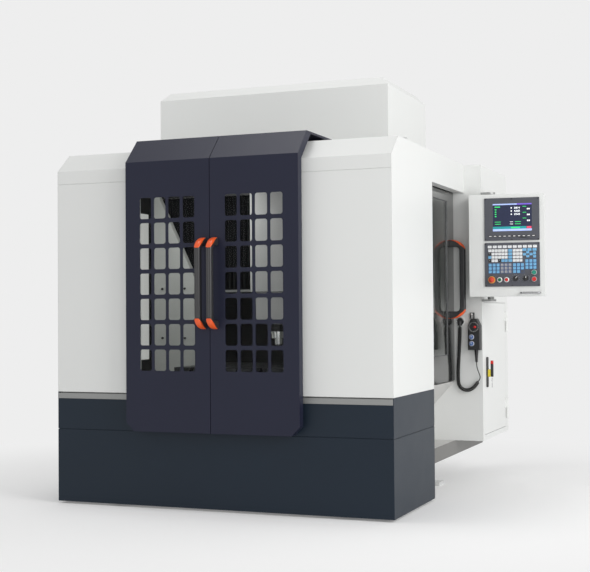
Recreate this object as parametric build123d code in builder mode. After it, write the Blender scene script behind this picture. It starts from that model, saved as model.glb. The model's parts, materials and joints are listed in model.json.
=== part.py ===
from build123d import *
import os
from math import cos, pi, radians, sin, sqrt, tan

# An enclosed engraving and milling machine: cast bed and portal, sliding doors, cabinet, control box.
# Lengths in millimetres. X runs to the right as seen from the front, Y to the rear, Z up.
# The origin lies on the floor under the centre of the bed.

# Shared values: sheet thickness, seams and clearances
sheet = 3.0
seam = 3.0
lap = 30.0
overrun = 20.0
slide_gap = 0.3
shaft_gap = 0.05

# Enclosure: overall sizes and heights above the floor
base_width = 1800.0
skirt_depth = 700.0
skirt_clearance = 12.0
skirt_split_height = 380.0
skirt_top_height = 537.0
track_top_height = 571.0
lip_height = 1636.0
bevel_height = 1701.0
roof_height = 1797.0
bevel_run = 112.0
skirt_return = 25.0
enclosure_depth = 1420.0
rear_panel_foot = 241.0
door_opening_half = 430.0
roof_gap_depth = 340.0
panel_return = 30.0
tie_width = 80.0
tie_thickness = 8.0
tie_height = 220.0
tie_place = 520.0
roof_rear_flange = 60.0

# Bed and levelling feet
bed_setback = 140.0
bed_length = 1210.0
bed_half_width = 712.0
bed_underside = 70.0
way_height = 560.0
gutter_floor = 520.0
trough_floor = 470.0
trough_half = 205.0
way_pad_width = 110.0
gutter_outer = 440.0
bed_wall = 26.0
bed_pocket_ceiling = 444.0
bed_pocket_columns = 2
bed_pocket_rows = 3
foot_inset_x = 50.0
foot_inset_y = 80.0
foot_inner_reach = 60.0
foot_outer_reach = 120.0
foot_width = 110.0
foot_plate = 18.0
foot_boss_radius = 32.0
foot_boss_height = 14.0
foot_stud_radius = 14.0
foot_nut_radius = 24.0
foot_nut_height = 16.0
anchor_reach = 90.0
anchor_radius = 8.0
foot_rows = 3

# Portal
portal_setback = 690.0
column_depth = 610.0
column_inner = 450.0
beam_setback = 800.0
beam_depth = 380.0
beam_underside = 1085.0
beam_top = 1630.0
arch_haunch = 80.0
flange_thickness = 35.0
flange_inner_rise = 58.0
flange_outer_height = 1640.0
flange_flat = 22.0
portal_pocket_wall = 30.0
portal_pocket_depth = 280.0
column_pocket_wall = 30.0
column_pocket_height = 440.0

# Guide rails, ball screws and motors
rail_width = 30.0
rail_height = 28.0
rail_waist = 4.0
rail_foot_height = 9.0
rail_head_height = 19.0
rail_wrap = 16.0
y_rail_place = 260.0
x_rail_inset = 97.5
screw_radius = 12.5
screw_core_radius = 10.0
bearing_length = 40.0
x_groove_height = 110.0
x_groove_depth = 45.0
x_screw_inset = 15.0
x_bearing_left = 640.0
x_bearing_right = 500.0
motor_size = 80.0
motor_length = 130.0
motor_flange_size = 86.0
motor_flange_thickness = 12.0
motor_cap_size = 68.0
motor_cap_length = 28.0
motor_corner = 12.0
motor_pocket_gap = 5.0
y_screw_height = 592.0
y_bearing_front = 30.0
y_bearing_rear = 1050.0
y_bearing_half = 55.0
y_bearing_crown = 34.0

# Work table
table_half_width = 360.0
table_length = 620.0
table_setback = 560.0
table_top_height = 690.0
table_thickness = 50.0
runner_width = 90.0
runner_foot_gap = 10.0
slot_count = 5
slot_pitch = 130.0
slot_neck = 14.0
slot_neck_depth = 14.0
slot_foot = 24.0
slot_foot_depth = 11.0
nut_half_width = 45.0
nut_length = 110.0
nut_hang = 24.0

# Saddle, vertical slide, cover, spindle
head_x = 100.0
saddle_setback = 700.0
saddle_half = 150.0
saddle_bottom = 1120.0
saddle_top = 1720.0
channel_half = 50.0
channel_depth = 67.0
z_screw_inset = 46.0
z_rail_place = 105.0
z_rail_width = 24.0
z_rail_height = 20.0
z_rail_wrap = 10.0
slide_half = 135.0
slide_thickness = 70.0
slide_bottom = 955.0
slide_top = 1560.0
clamp_half = 78.0
clamp_top = 1075.0
clamp_reach = 122.0
spindle_reach = 60.0
spindle_radius = 50.0
spindle_bottom = 860.0
spindle_top = 1340.0
spindle_cap_radius = 42.0
spindle_cap_height = 26.0
spindle_flange_radius = 58.0
spindle_flange_height = 14.0
nose_shaft_radius = 16.0
nose_shaft_depth = 70.0
nose_radius = 24.0
nose_height = 36.0
nose_drop = 4.0
nose_taper = 7.0
collet_radius = 6.0
collet_depth = 45.0
cover_bottom = 1078.0
cover_top = 1606.0
cover_reach = 152.0
cover_bevel = 26.0
z_nut_bottom = 1270.0
z_nut_height = 60.0
z_nut_half = 35.0
z_nut_wall = 6.0
z_screw_foot = 30.0
saddle_nut_half = 36.0
saddle_nut_width = 100.0

# Bellows of the cross axis
bellows_setback = 736.0
bellows_depth = 30.0
bellows_margin = 15.0
bellows_pleat = 29.0
bellows_skin = 8.0

# Front doors
door_half_width = 462.0
door_meeting_gap = 3.0
door_front_gap = 68.0
door_pan_depth = 45.0
door_bottom = 387.0
door_front_top = 1719.0
door_bevel_run = 118.0
door_bevel_rise = 122.0
door_flap_end = 400.0
door_flap_lip = 11.0
door_corner = 43.0
window_columns = 4
window_rows = 7
window_width = 63.5
window_height = 104.5
window_pitch_x = 79.0
window_pitch_z = 124.7
window_radius = 12.0
window_centre_height = 1113.0
pane_margin = 26.0
pane_thickness = 5.0
hanger_place = 150.0
hanger_length = 80.0
hanger_width = 30.0
roof_rail_setback = 370.0
roof_rail_web = 8.0
roof_rail_rise = 30.0
roof_rail_foot_width = 40.0
roof_rail_foot = 5.0
roof_rail_end = 30.0
hanger_lift = 6.0
track_depth = 28.0
track_groove = 6.0
track_lip = 8.0
tongue_gap = 1.0
tongue_reach = 15.0
tongue_length = 70.0

# Handles of the sliding doors
handle_length = 440.0
handle_projection = 82.0
handle_width = 30.0
handle_bar = 32.0
handle_arm = 40.0
handle_corner = 62.0
handle_inner_radius = 16.0
handle_place = 31.0
handle_height = 1112.0

# Side door, its rail and the chute below it
side_door_recess = 60.0
side_door_thickness = 25.0
side_door_bottom = 580.0
side_door_top = 1640.0
side_door_front_lap = 28.0
side_door_rear_gap = 5.0
side_rear_stile = 134.0
side_front_stile = 70.0
side_window_bottom = 726.0
side_window_top = 1580.0
side_pane_inset = 6.0
side_handle_setback = 58.0
side_handle_height = 1148.0
side_opening_return = 50.0
side_rail_height = 1664.0
side_rail_sheet = 4.0
side_rail_lip = 14.0
side_rail_front = 60.0
side_hanger_thickness = 13.0
side_hanger_crown = 6.0
side_hanger_length = 70.0
side_hanger_place = 240.0
sill_rise = 4.0
chute_low_height = 440.0
chute_flange = 40.0
bearer_drop = 79.0

# Gantry cover on the roof
gantry_half = 668.0
gantry_setback = 693.0
gantry_depth = 718.0
gantry_top = 2206.0
gantry_bevel = 46.0
gantry_lap = 28.0
gantry_front_lap = 5.0

# Electrical cabinet, its door and lock
cabinet_setback = 1362.0
cabinet_left = 690.0
cabinet_right = 1000.0
cabinet_depth = 668.0
cabinet_bottom = 241.0
cabinet_top = 1792.0
cabinet_door_front = 39.0
cabinet_door_rear = 67.0
cabinet_door_bottom = 273.0
cabinet_door_top = 1015.0
cabinet_door_gap = 2.0
cabinet_door_depth = 20.0
hinge_out = 9.0
hinge_pin_radius = 4.0
hinge_barrel_radius = 8.0
hinge_length = 60.0
hinge_inset = 110.0
hinge_leaf = 26.0
lock_plate_setback = 99.0
lock_plate_height = 622.0
lock_plate_width = 30.0
lock_plate_length = 170.0
lock_plate_thickness = 8.0
lock_hub_radius = 9.0
lock_hub_length = 16.0
lock_hub_depth = 6.0
lock_lever_length = 92.0
lock_lever_width = 18.0
lock_lever_thickness = 13.0
lock_head_share = 0.28
rack_plate = 4.0
rack_margin = 30.0
drive_count = 3
drive_width = 62.0
drive_pitch = 78.0
drive_height = 190.0
drive_depth = 160.0
drive_low = 640.0
inverter_width = 170.0
inverter_height = 260.0
inverter_depth = 150.0
inverter_low = 320.0
terminal_height = 44.0
terminal_depth = 46.0
terminal_low = 890.0
rack_first = 150.0

# Control box on its swivel post
swivel_x = 1045.0
swivel_setback = 1385.0
panel_turn = 6.0
post_radius = 18.0
post_low = 1022.0
post_high = 1634.0
post_arm = 12.0
post_arm_half = 30.0
box_left = 100.0
box_width = 409.0
box_low = 1048.0
box_high = 1610.0
box_back = 40.0
box_depth = 100.0
box_corner = 6.0
lug_radius = 30.0
lug_height = 46.0
lug_inset = 60.0
lug_half = 22.0
unit_width = 298.0
unit_right_margin = 25.0
unit_thickness = 7.0
unit_edge = 4.0
display_height = 234.0
display_top_margin = 22.0
screen_width = 211.0
screen_height = 150.0
screen_left = 46.0
screen_top = 32.0
screen_recess = 4.0
screen_glass = 3.0
keypad_height = 240.0
keypad_gap = 12.0
key_rise = 1.6
key_width = 19.0
key_height = 9.0
soft_key_count = 10
soft_key_pitch = 26.0
soft_key_low = 24.0
bow_right_margin = 24.0
bow_span = 104.0
bow_low = 18.0
bow_radius = 5.0
bow_reach = 32.0
bow_corner = 14.0

# Key groups of the key panel: lower left corner, pitch and size of one key
row_keys = 10
row_left = 17.5
row_low = 211.0
row_pitch = 27.2
row_key_width = 21.0
row_key_height = 14.0
letter_columns = 5
letter_rows = 4
letter_left = 37.6
letter_low = 135.0
letter_pitch_x = 17.8
letter_pitch_y = 18.4
letter_width = 15.6
letter_height = 14.4
digit_columns = 3
digit_left = 153.0
edit_left = 129.0
edit_width = 20.0
side_key_left = 20.5
side_key_width = 14.6
arrow_width = 16.0
arrow_height = 13.0
arrow_x = 233.5
arrow_y = 175.0
arrow_step_x = 17.8
arrow_step_y = 10.6
mode_columns = 3
mode_rows = 3
mode_low = 74.0
mode_pitch_x = 21.3
mode_pitch_y = 18.6
mode_width = 15.0
mode_height = 14.6
mode_left_a = 22.0
mode_left_b = 87.0
mode_left_c = 154.0
jog_left = 221.0
jog_low = 95.0
extra_left = 205.4
extra_low = 193.0
extra_keys = 3
extra_side_left = 263.0
extra_side_low = 155.8
extra_side_rows = 2

# Push buttons and rotary switches of the control box
button_bore = 11.0
button_stem_gap = 0.3
button_ring_radius = 15.5
button_ring_height = 4.0
button_ring_gap = 0.8
button_radius = 11.5
button_height = 10.0
button_stem_length = 14.0
estop_x = 37.5
estop_y = 37.0
estop_radius = 20.0
estop_height = 30.0
estop_neck_height = 16.0
estop_ring_radius = 27.0
start_x = 81.0
stop_x = 118.5
button_y = 37.0
power_x = 267.0
power_on_y = 75.0
power_off_y = 38.5
knob_feed_x = 167.0
knob_spindle_x = 222.0
knob_y = 43.5
knob_radius = 16.0
knob_height = 18.0
knob_skirt = 5.0
knob_skirt_radius = 19.0
knob_grip_half = 6.0
knob_stem_length = 12.0

# Hand pendant, its hook, glands and cord
pendant_left = 926.0
pendant_width = 70.0
pendant_low = 751.0
pendant_high = 926.0
pendant_depth = 42.0
pendant_shoulder = 18.0
pendant_shoulder_rise = 38.0
pendant_edge = 5.0
pendant_bail_width = 26.0
pendant_bail_height = 34.0
pendant_bail_bar = 6.0
pendant_bail_x = 944.0
hook_radius = 4.0
hook_reach = 16.0
hook_tip = 10.0
hook_depth = 6.0
dial_x = 962.0
dial_height = 880.0
dial_radius = 29.0
dial_thickness = 9.0
dial_hub_radius = 10.0
dial_hub_height = 6.0
dial_stem_radius = 5.0
dial_stem_length = 10.0
dial_grip_radius = 5.0
dial_grip_height = 14.0
dial_grip_place = 20.0
selector_x = 948.0
selector_high = 824.0
selector_low = 787.0
selector_radius = 12.0
selector_height = 14.0
selector_grip = 21.0
selector_grip_width = 6.0
gland_x = 970.0
gland_top_radius = 11.0
gland_tip_radius = 6.5
gland_length = 68.0
lead_radius = 2.6
coil_radius = 11.0
socket_x = 875.0
socket_height = 912.0
socket_radius = 17.0
socket_length = 14.0
socket_elbow_radius = 13.0
socket_nozzle = 24.0
cord_off = 15.0
cord_arc_share = 0.45

# Route of the curly cord in X and Z after the connector, then of its straight lead up to the pendant
coil_route = [
    (875.0, 852.0),
    (872.0, 792.0),
    (868.0, 718.0),
    (863.0, 645.0),
    (862.5, 600.0),
    (863.5, 556.0),
    (885.5, 530.0),
    (918.7, 523.0),
    (949.3, 537.9),
    (964.0, 556.5),
    (978.0, 576.0),
]
lead_route = [
    (992.0, 602.0, 595.5),
    (979.0, 598.5, 630.0),
    (970.0, 596.0, 658.0),
]

# Places that follow from the values above
half = base_width / 2
front_y = -(bed_setback + bed_length / 2)
inner_half = half - sheet
beam_middle = (beam_underside + beam_top) / 2
x_rail_spacing = beam_top - beam_underside - 2 * x_rail_inset
swivel_y = front_y + swivel_setback
cabinet_front_y = front_y + cabinet_setback
cabinet_rear_y = cabinet_front_y + cabinet_depth
door_face_y = front_y - door_front_gap
side_face_x = half - side_door_recess
side_inner_x = side_face_x - side_door_thickness
spindle_y = front_y + saddle_setback - z_rail_height + z_rail_wrap - slide_thickness - spindle_reach


def at_x(x):
    """Plane across the machine: sketch axes are Y and Z, it faces +X."""
    return Plane.YZ.offset(x)


def at_y(y):
    """Plane along the front: sketch axes are X and Z, it faces -Y."""
    return Plane.XZ.offset(-y)


def at_z(z):
    """Level plane: sketch axes are X and Y, it faces up."""
    return Plane.XY.offset(z)


def panel_plane(distance):
    """Plane of the turned control box, this far out from the swivel axis."""
    turn = radians(panel_turn)
    outward = Vector(sin(turn), -cos(turn), 0)
    along = Vector(cos(turn), sin(turn), 0)
    middle = Vector(swivel_x, swivel_y, 0) + outward * distance
    return Plane(origin=middle, x_dir=along, z_dir=outward)


def middle_of(low, high):
    return (low + high) / 2


def save(shape, name):
    """Labels a finished piece and writes it to its own file."""
    shape.label = name
    export_step(shape, f"parts/{name}.step")


os.makedirs("parts", exist_ok=True)

# Bed: cast section along Y with way pads, chip gutters and a screw trough, ribbed from below
bed_front_y = front_y + bed_setback
pad_outer = trough_half + way_pad_width
bed_outline = [
    (-bed_half_width, bed_underside),
    (bed_half_width, bed_underside),
    (bed_half_width, way_height),
    (gutter_outer, way_height),
    (gutter_outer, gutter_floor),
    (pad_outer, gutter_floor),
    (pad_outer, way_height),
    (trough_half, way_height),
    (trough_half, trough_floor),
    (-trough_half, trough_floor),
    (-trough_half, way_height),
    (-pad_outer, way_height),
    (-pad_outer, gutter_floor),
    (-gutter_outer, gutter_floor),
    (-gutter_outer, way_height),
    (-bed_half_width, way_height),
]
pocket_x = (2 * bed_half_width - bed_wall) / bed_pocket_columns - bed_wall
pocket_y = (bed_length - bed_wall) / bed_pocket_rows - bed_wall
y_bearing_places = (bed_front_y + y_bearing_front, bed_front_y + y_bearing_rear)
with BuildPart() as bed:
    with BuildSketch(at_y(bed_front_y)):
        with BuildLine():
            Polyline(*bed_outline, close=True)
        make_face()
    extrude(amount=-bed_length)
    with BuildSketch(at_z(bed_underside)):
        with GridLocations(pocket_x + bed_wall, pocket_y + bed_wall, bed_pocket_columns, bed_pocket_rows):
            Rectangle(pocket_x, pocket_y)
    extrude(amount=bed_pocket_ceiling - bed_underside, mode=Mode.SUBTRACT)
    for y_bearing in y_bearing_places:
        bearing_crown = y_screw_height + y_bearing_crown
        with BuildSketch(at_y(y_bearing)):
            with Locations((0, middle_of(trough_floor, bearing_crown))):
                Rectangle(2 * y_bearing_half, bearing_crown - trough_floor)
            with Locations((0, y_screw_height)):
                Circle(screw_core_radius + shaft_gap, mode=Mode.SUBTRACT)
        extrude(amount=-bearing_length)
save(bed.part, "machine_bed")

# Levelling feet: plate with anchor hole, boss, stud and lock nut, six alike
foot_x = bed_half_width - foot_inset_x
foot_y = bed_length / 2 - foot_inset_y
foot_middle = (foot_outer_reach - foot_inner_reach) / 2
with BuildPart() as feet:
    for side in (-1, 1):
        with BuildSketch():
            with Locations((side * (foot_x + foot_middle), 0)):
                with GridLocations(0, foot_y, 1, foot_rows):
                    Rectangle(foot_inner_reach + foot_outer_reach, foot_width)
            with Locations((side * (foot_x + anchor_reach), 0)):
                with GridLocations(0, foot_y, 1, foot_rows):
                    Circle(anchor_radius, mode=Mode.SUBTRACT)
        extrude(amount=foot_plate)
        for radius, low, high in (
            (foot_boss_radius, foot_plate, foot_plate + foot_boss_height),
            (foot_stud_radius, foot_plate, bed_underside),
        ):
            with BuildSketch(at_z(low)):
                with Locations((side * foot_x, 0)):
                    with GridLocations(0, foot_y, 1, foot_rows):
                        Circle(radius)
            extrude(amount=high - low)
        with BuildSketch(at_z(bed_underside - foot_nut_height)):
            with Locations((side * foot_x, 0)):
                with GridLocations(0, foot_y, 1, foot_rows):
                    RegularPolygon(foot_nut_radius, 6)
        extrude(amount=foot_nut_height)
save(feet.part, "levelling_feet")

# Portal: arch with deep columns, front flanges with a sloped edge, screw groove and rear pockets
portal_y = front_y + portal_setback
beam_y = front_y + beam_setback
motor_pocket = x_screw_inset + motor_size / 2 + motor_pocket_gap
with BuildPart() as portal:
    with BuildSketch(at_y(beam_y)):
        with Locations((0, middle_of(way_height, beam_top))):
            Rectangle(2 * bed_half_width, beam_top - way_height)
        with BuildLine():
            Polyline(
                (-column_inner, way_height),
                (column_inner, way_height),
                (column_inner, beam_underside - arch_haunch),
                (column_inner - arch_haunch, beam_underside),
                (arch_haunch - column_inner, beam_underside),
                (-column_inner, beam_underside - arch_haunch),
                close=True,
            )
        make_face(mode=Mode.SUBTRACT)
    extrude(amount=-beam_depth)
    for side in (-1, 1):
        with BuildSketch(at_y(portal_y)):
            with Locations(
                (side * middle_of(column_inner, bed_half_width), middle_of(way_height, beam_underside))
            ):
                Rectangle(bed_half_width - column_inner, beam_underside - way_height)
        extrude(amount=-column_depth)
        with BuildSketch(at_y(portal_y)):
            with BuildLine():
                Polyline(
                    (side * column_inner, beam_underside),
                    (side * bed_half_width, beam_underside),
                    (side * bed_half_width, flange_outer_height),
                    (side * (bed_half_width - flange_flat), flange_outer_height),
                    (side * column_inner, beam_underside + flange_inner_rise),
                    close=True,
                )
            make_face()
        extrude(amount=-flange_thickness)
        with BuildSketch(at_y(portal_y + flange_thickness)):
            with Locations((side * (bed_half_width - flange_flat / 2), middle_of(beam_underside, beam_top))):
                Rectangle(flange_flat, beam_top - beam_underside)
        extrude(amount=portal_y + flange_thickness - beam_y)
    with BuildSketch(at_y(beam_y)):
        with Locations((0, beam_middle)):
            Rectangle(2 * (bed_half_width - flange_flat), x_groove_height)
    extrude(amount=-x_groove_depth, mode=Mode.SUBTRACT)
    for x_low, x_high in (
        (-x_bearing_left, bearing_length - x_bearing_left),
        (x_bearing_right, x_bearing_right + bearing_length),
    ):
        with BuildSketch(at_y(beam_y)):
            with Locations((middle_of(x_low, x_high), beam_middle)):
                Rectangle(x_high - x_low, x_groove_height)
        extrude(amount=-x_groove_depth)
        with BuildSketch(at_x(x_low)):
            with Locations((beam_y + x_screw_inset, beam_middle)):
                Circle(screw_core_radius + shaft_gap)
        extrude(amount=x_high - x_low, mode=Mode.SUBTRACT)
    motor_left = x_bearing_right + bearing_length
    motor_right = bed_half_width - flange_flat
    with BuildSketch(at_y(beam_y)):
        with Locations((middle_of(motor_left, motor_right), beam_middle)):
            Rectangle(motor_right - motor_left, x_groove_height)
    extrude(amount=-motor_pocket, mode=Mode.SUBTRACT)
    with BuildSketch(at_y(beam_y + beam_depth)):
        pocket_pitch = 2 * bed_half_width / 3
        with Locations((0, beam_middle)):
            with GridLocations(pocket_pitch, 0, 3, 1):
                Rectangle(
                    pocket_pitch - portal_pocket_wall, beam_top - beam_underside - 2 * portal_pocket_wall
                )
    extrude(amount=portal_pocket_depth, mode=Mode.SUBTRACT)
    with BuildSketch(at_z(way_height)):
        for side in (-1, 1):
            with Locations((side * middle_of(column_inner, bed_half_width), portal_y + column_depth / 2)):
                Rectangle(
                    bed_half_width - column_inner - 2 * column_pocket_wall,
                    column_depth - 2 * column_pocket_wall,
                )
    extrude(amount=column_pocket_height, mode=Mode.SUBTRACT)
save(portal.part, "portal")

# Guide rails of the table and of the saddle: waisted bars on the way pads and on the beam face
rail_half = rail_width / 2
rail_section = [
    (-rail_half, 0),
    (rail_half, 0),
    (rail_half, rail_foot_height),
    (rail_half - rail_waist, middle_of(rail_foot_height, rail_head_height)),
    (rail_half, rail_head_height),
    (rail_half, rail_height),
    (-rail_half, rail_height),
    (-rail_half, rail_head_height),
    (rail_waist - rail_half, middle_of(rail_foot_height, rail_head_height)),
    (-rail_half, rail_foot_height),
]
x_rail_end = bed_half_width - flange_flat
with BuildPart() as rails:
    for side in (-1, 1):
        with BuildSketch(
            Plane(origin=(side * y_rail_place, bed_front_y, way_height), x_dir=(1, 0, 0), z_dir=(0, -1, 0))
        ):
            with BuildLine():
                Polyline(*rail_section, close=True)
            make_face()
        extrude(amount=-bed_length)
        rail_z = beam_middle + side * x_rail_spacing / 2
        with BuildSketch(Plane(origin=(-x_rail_end, beam_y, rail_z), x_dir=(0, 0, 1), z_dir=(1, 0, 0))):
            with BuildLine():
                Polyline(*rail_section, close=True)
            make_face()
        extrude(amount=2 * x_rail_end)
save(rails.part, "guide_rails")


def servo_motor(plane):
    """One servo motor that stands on the plane: flange, body with rounded corners, rear cap."""
    with BuildPart() as motor:
        with BuildSketch(plane):
            Rectangle(motor_flange_size, motor_flange_size)
        extrude(amount=motor_flange_thickness)
        with BuildSketch(plane.offset(motor_flange_thickness)):
            RectangleRounded(motor_size, motor_size, motor_corner)
        extrude(amount=motor_length - motor_flange_thickness - motor_cap_length)
        with BuildSketch(plane.offset(motor_length - motor_cap_length)):
            RectangleRounded(motor_cap_size, motor_cap_size, motor_corner)
        extrude(amount=motor_cap_length)
    return motor.part


# Servo motors of the cross axis and of the table, each on its bearing block
y_motor_y = y_bearing_places[1] + bearing_length
x_motor_x = x_bearing_right + bearing_length
with BuildPart() as axis_motors:
    x_motor_plane = Plane(
        origin=(x_motor_x, beam_y + x_screw_inset, beam_middle), x_dir=(0, 1, 0), z_dir=(1, 0, 0)
    )
    add(servo_motor(x_motor_plane))
    add(servo_motor(Plane(origin=(0, y_motor_y, y_screw_height), x_dir=(1, 0, 0), z_dir=(0, 1, 0))))
save(axis_motors.part, "axis_motors")


def ball_screw(plane, journal, thread):
    """Screw along the plane's normal: journals at both ends, threaded length between the bearings."""
    with BuildPart() as screw:
        with BuildSketch(plane):
            Circle(screw_core_radius)
        extrude(amount=thread + 2 * journal)
        with BuildSketch(plane.offset(journal)):
            Circle(screw_radius)
        extrude(amount=thread)
    return screw.part


# Ball screws of the table and of the saddle, between their bearing blocks
y_thread = y_bearing_places[1] - y_bearing_places[0] - bearing_length
y_screw_plane = Plane(origin=(0, y_bearing_places[0], y_screw_height), x_dir=(1, 0, 0), z_dir=(0, 1, 0))
save(ball_screw(y_screw_plane, bearing_length, y_thread), "table_screw")
x_thread = x_bearing_left + x_bearing_right - bearing_length
x_screw_plane = Plane(
    origin=(-x_bearing_left, beam_y + x_screw_inset, beam_middle), x_dir=(0, 1, 0), z_dir=(1, 0, 0)
)
save(ball_screw(x_screw_plane, bearing_length, x_thread), "saddle_screw")

# Work table: T-slot plate on two runners that wrap the rails, nut block under the middle
table_y = front_y + table_setback
table_front_y = table_y - table_length / 2
runner_low = way_height + runner_foot_gap
plate_low = table_top_height - table_thickness
nut_low = y_screw_height - nut_hang
with BuildPart() as table:
    with BuildSketch(at_y(table_front_y)):
        with Locations((0, middle_of(plate_low, table_top_height))):
            Rectangle(2 * table_half_width, table_thickness)
        for side in (-1, 1):
            with Locations((side * y_rail_place, middle_of(runner_low, plate_low))):
                Rectangle(runner_width, plate_low - runner_low)
            with Locations(
                (side * y_rail_place, middle_of(runner_low, way_height + rail_height + slide_gap))
            ):
                Rectangle(
                    rail_width + 2 * slide_gap,
                    way_height + rail_height + slide_gap - runner_low,
                    mode=Mode.SUBTRACT,
                )
        neck_low = table_top_height - slot_neck_depth
        with Locations((0, middle_of(neck_low, table_top_height))):
            with GridLocations(slot_pitch, 0, slot_count, 1):
                Rectangle(slot_neck, slot_neck_depth, mode=Mode.SUBTRACT)
        with Locations((0, neck_low - slot_foot_depth / 2)):
            with GridLocations(slot_pitch, 0, slot_count, 1):
                Rectangle(slot_foot, slot_foot_depth, mode=Mode.SUBTRACT)
    extrude(amount=-table_length)
    with BuildSketch(at_y(table_y - nut_length / 2)):
        with Locations((0, middle_of(nut_low, plate_low))):
            Rectangle(2 * nut_half_width, plate_low - nut_low)
        with Locations((0, y_screw_height)):
            Circle(screw_radius + shaft_gap, mode=Mode.SUBTRACT)
    extrude(amount=-nut_length)
save(table.part, "work_table")

# Saddle: block that wraps both rails of the beam, with a front channel and two upright rails
saddle_y = front_y + saddle_setback
saddle_depth = beam_setback - rail_height + rail_wrap - saddle_setback
rail_face_y = beam_y - rail_height - slide_gap
z_screw_y = saddle_y + z_screw_inset
with BuildPart() as saddle:
    with BuildSketch(at_z(saddle_bottom)):
        with Locations((head_x, saddle_y + saddle_depth / 2)):
            Rectangle(2 * saddle_half, saddle_depth)
        with Locations((head_x, saddle_y + channel_depth / 2)):
            Rectangle(2 * channel_half, channel_depth, mode=Mode.SUBTRACT)
        for side in (-1, 1):
            with Locations((head_x + side * z_rail_place, saddle_y - z_rail_height / 2)):
                Rectangle(z_rail_width, z_rail_height)
    extrude(amount=saddle_top - saddle_bottom)
    with BuildSketch(at_z(saddle_bottom)):
        with Locations((head_x, saddle_y + channel_depth / 2)):
            Rectangle(2 * channel_half, channel_depth)
        with Locations((head_x, z_screw_y)):
            Circle(screw_core_radius + shaft_gap, mode=Mode.SUBTRACT)
    extrude(amount=z_screw_foot)
    for side in (-1, 1):
        rail_z = beam_middle + side * x_rail_spacing / 2
        with BuildSketch(at_y(rail_face_y)):
            with Locations((head_x, rail_z)):
                Rectangle(2 * saddle_half, rail_width + 2 * slide_gap)
        extrude(amount=-rail_wrap - overrun, mode=Mode.SUBTRACT)
    with BuildSketch(at_x(head_x - saddle_nut_width / 2)):
        nut_rear = beam_y + x_screw_inset + nut_hang
        nut_front = saddle_y + saddle_depth
        with Locations((middle_of(nut_front, nut_rear), beam_middle)):
            Rectangle(nut_rear - nut_front, 2 * saddle_nut_half)
        with Locations((beam_y + x_screw_inset, beam_middle)):
            Circle(screw_radius + shaft_gap, mode=Mode.SUBTRACT)
    extrude(amount=saddle_nut_width)
save(saddle.part, "cross_saddle")

# Motor of the vertical axis on the saddle top, and its screw in the front channel
z_motor_plane = Plane(origin=(head_x, z_screw_y, saddle_top), x_dir=(1, 0, 0), z_dir=(0, 0, 1))
save(servo_motor(z_motor_plane), "head_motor")
z_thread = saddle_top - saddle_bottom - z_screw_foot - bearing_length
with BuildPart() as z_screw:
    with BuildSketch(Plane(origin=(head_x, z_screw_y, saddle_bottom))):
        Circle(screw_core_radius)
    extrude(amount=saddle_top - saddle_bottom)
    with BuildSketch(Plane(origin=(head_x, z_screw_y, saddle_bottom + z_screw_foot))):
        Circle(screw_radius)
    extrude(amount=z_thread)
save(z_screw.part, "head_screw")

# Vertical slide: plate that wraps the upright rails, nut block in the channel, spindle clamp below
slide_rear_y = saddle_y - z_rail_height + z_rail_wrap
slide_front_y = slide_rear_y - slide_thickness
z_rail_face_y = saddle_y - z_rail_height - slide_gap
z_nut_rear = z_screw_y + screw_radius + z_nut_wall
with BuildPart() as slide:
    with BuildSketch(at_z(slide_bottom)):
        with Locations((head_x, slide_front_y + slide_thickness / 2)):
            Rectangle(2 * slide_half, slide_thickness)
        for side in (-1, 1):
            with Locations((head_x + side * z_rail_place, z_rail_face_y + z_rail_height / 2)):
                Rectangle(z_rail_width + 2 * slide_gap, z_rail_height, mode=Mode.SUBTRACT)
    extrude(amount=slide_top - slide_bottom)
    with BuildSketch(at_z(slide_bottom)):
        with Locations((head_x, slide_front_y - clamp_reach / 2)):
            Rectangle(2 * clamp_half, clamp_reach)
        with Locations((head_x, spindle_y)):
            Circle(spindle_radius + shaft_gap, mode=Mode.SUBTRACT)
    extrude(amount=clamp_top - slide_bottom)
    with BuildSketch(at_z(z_nut_bottom)):
        with Locations((head_x, middle_of(slide_rear_y, z_nut_rear))):
            Rectangle(2 * z_nut_half, z_nut_rear - slide_rear_y)
        with Locations((head_x, z_screw_y)):
            Circle(screw_radius + shaft_gap, mode=Mode.SUBTRACT)
    extrude(amount=z_nut_height)
save(slide.part, "head_slide")

# Head cover: bevelled sheet box on the slide front, open below and behind
cover_front_y = slide_front_y - cover_reach
cover_plan = [
    (head_x - slide_half, slide_front_y),
    (head_x - slide_half, cover_front_y + cover_bevel),
    (head_x + cover_bevel - slide_half, cover_front_y),
    (head_x + slide_half - cover_bevel, cover_front_y),
    (head_x + slide_half, cover_front_y + cover_bevel),
    (head_x + slide_half, slide_front_y),
]
with BuildPart() as head_cover:
    with BuildSketch(at_z(cover_bottom)):
        with BuildLine():
            Polyline(*cover_plan, close=True)
        make_face()
    extrude(amount=cover_top - cover_bottom)
    with BuildSketch(at_z(cover_bottom)):
        with BuildLine():
            Polyline(
                (head_x + sheet - slide_half, slide_front_y),
                (head_x + sheet - slide_half, cover_front_y + cover_bevel + sheet / 2),
                (head_x + cover_bevel + sheet / 2 - slide_half, cover_front_y + sheet),
                (head_x + slide_half - cover_bevel - sheet / 2, cover_front_y + sheet),
                (head_x + slide_half - sheet, cover_front_y + cover_bevel + sheet / 2),
                (head_x + slide_half - sheet, slide_front_y),
                close=True,
            )
        make_face()
    extrude(amount=cover_top - cover_bottom - sheet, mode=Mode.SUBTRACT)
save(head_cover.part, "head_cover")

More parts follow.
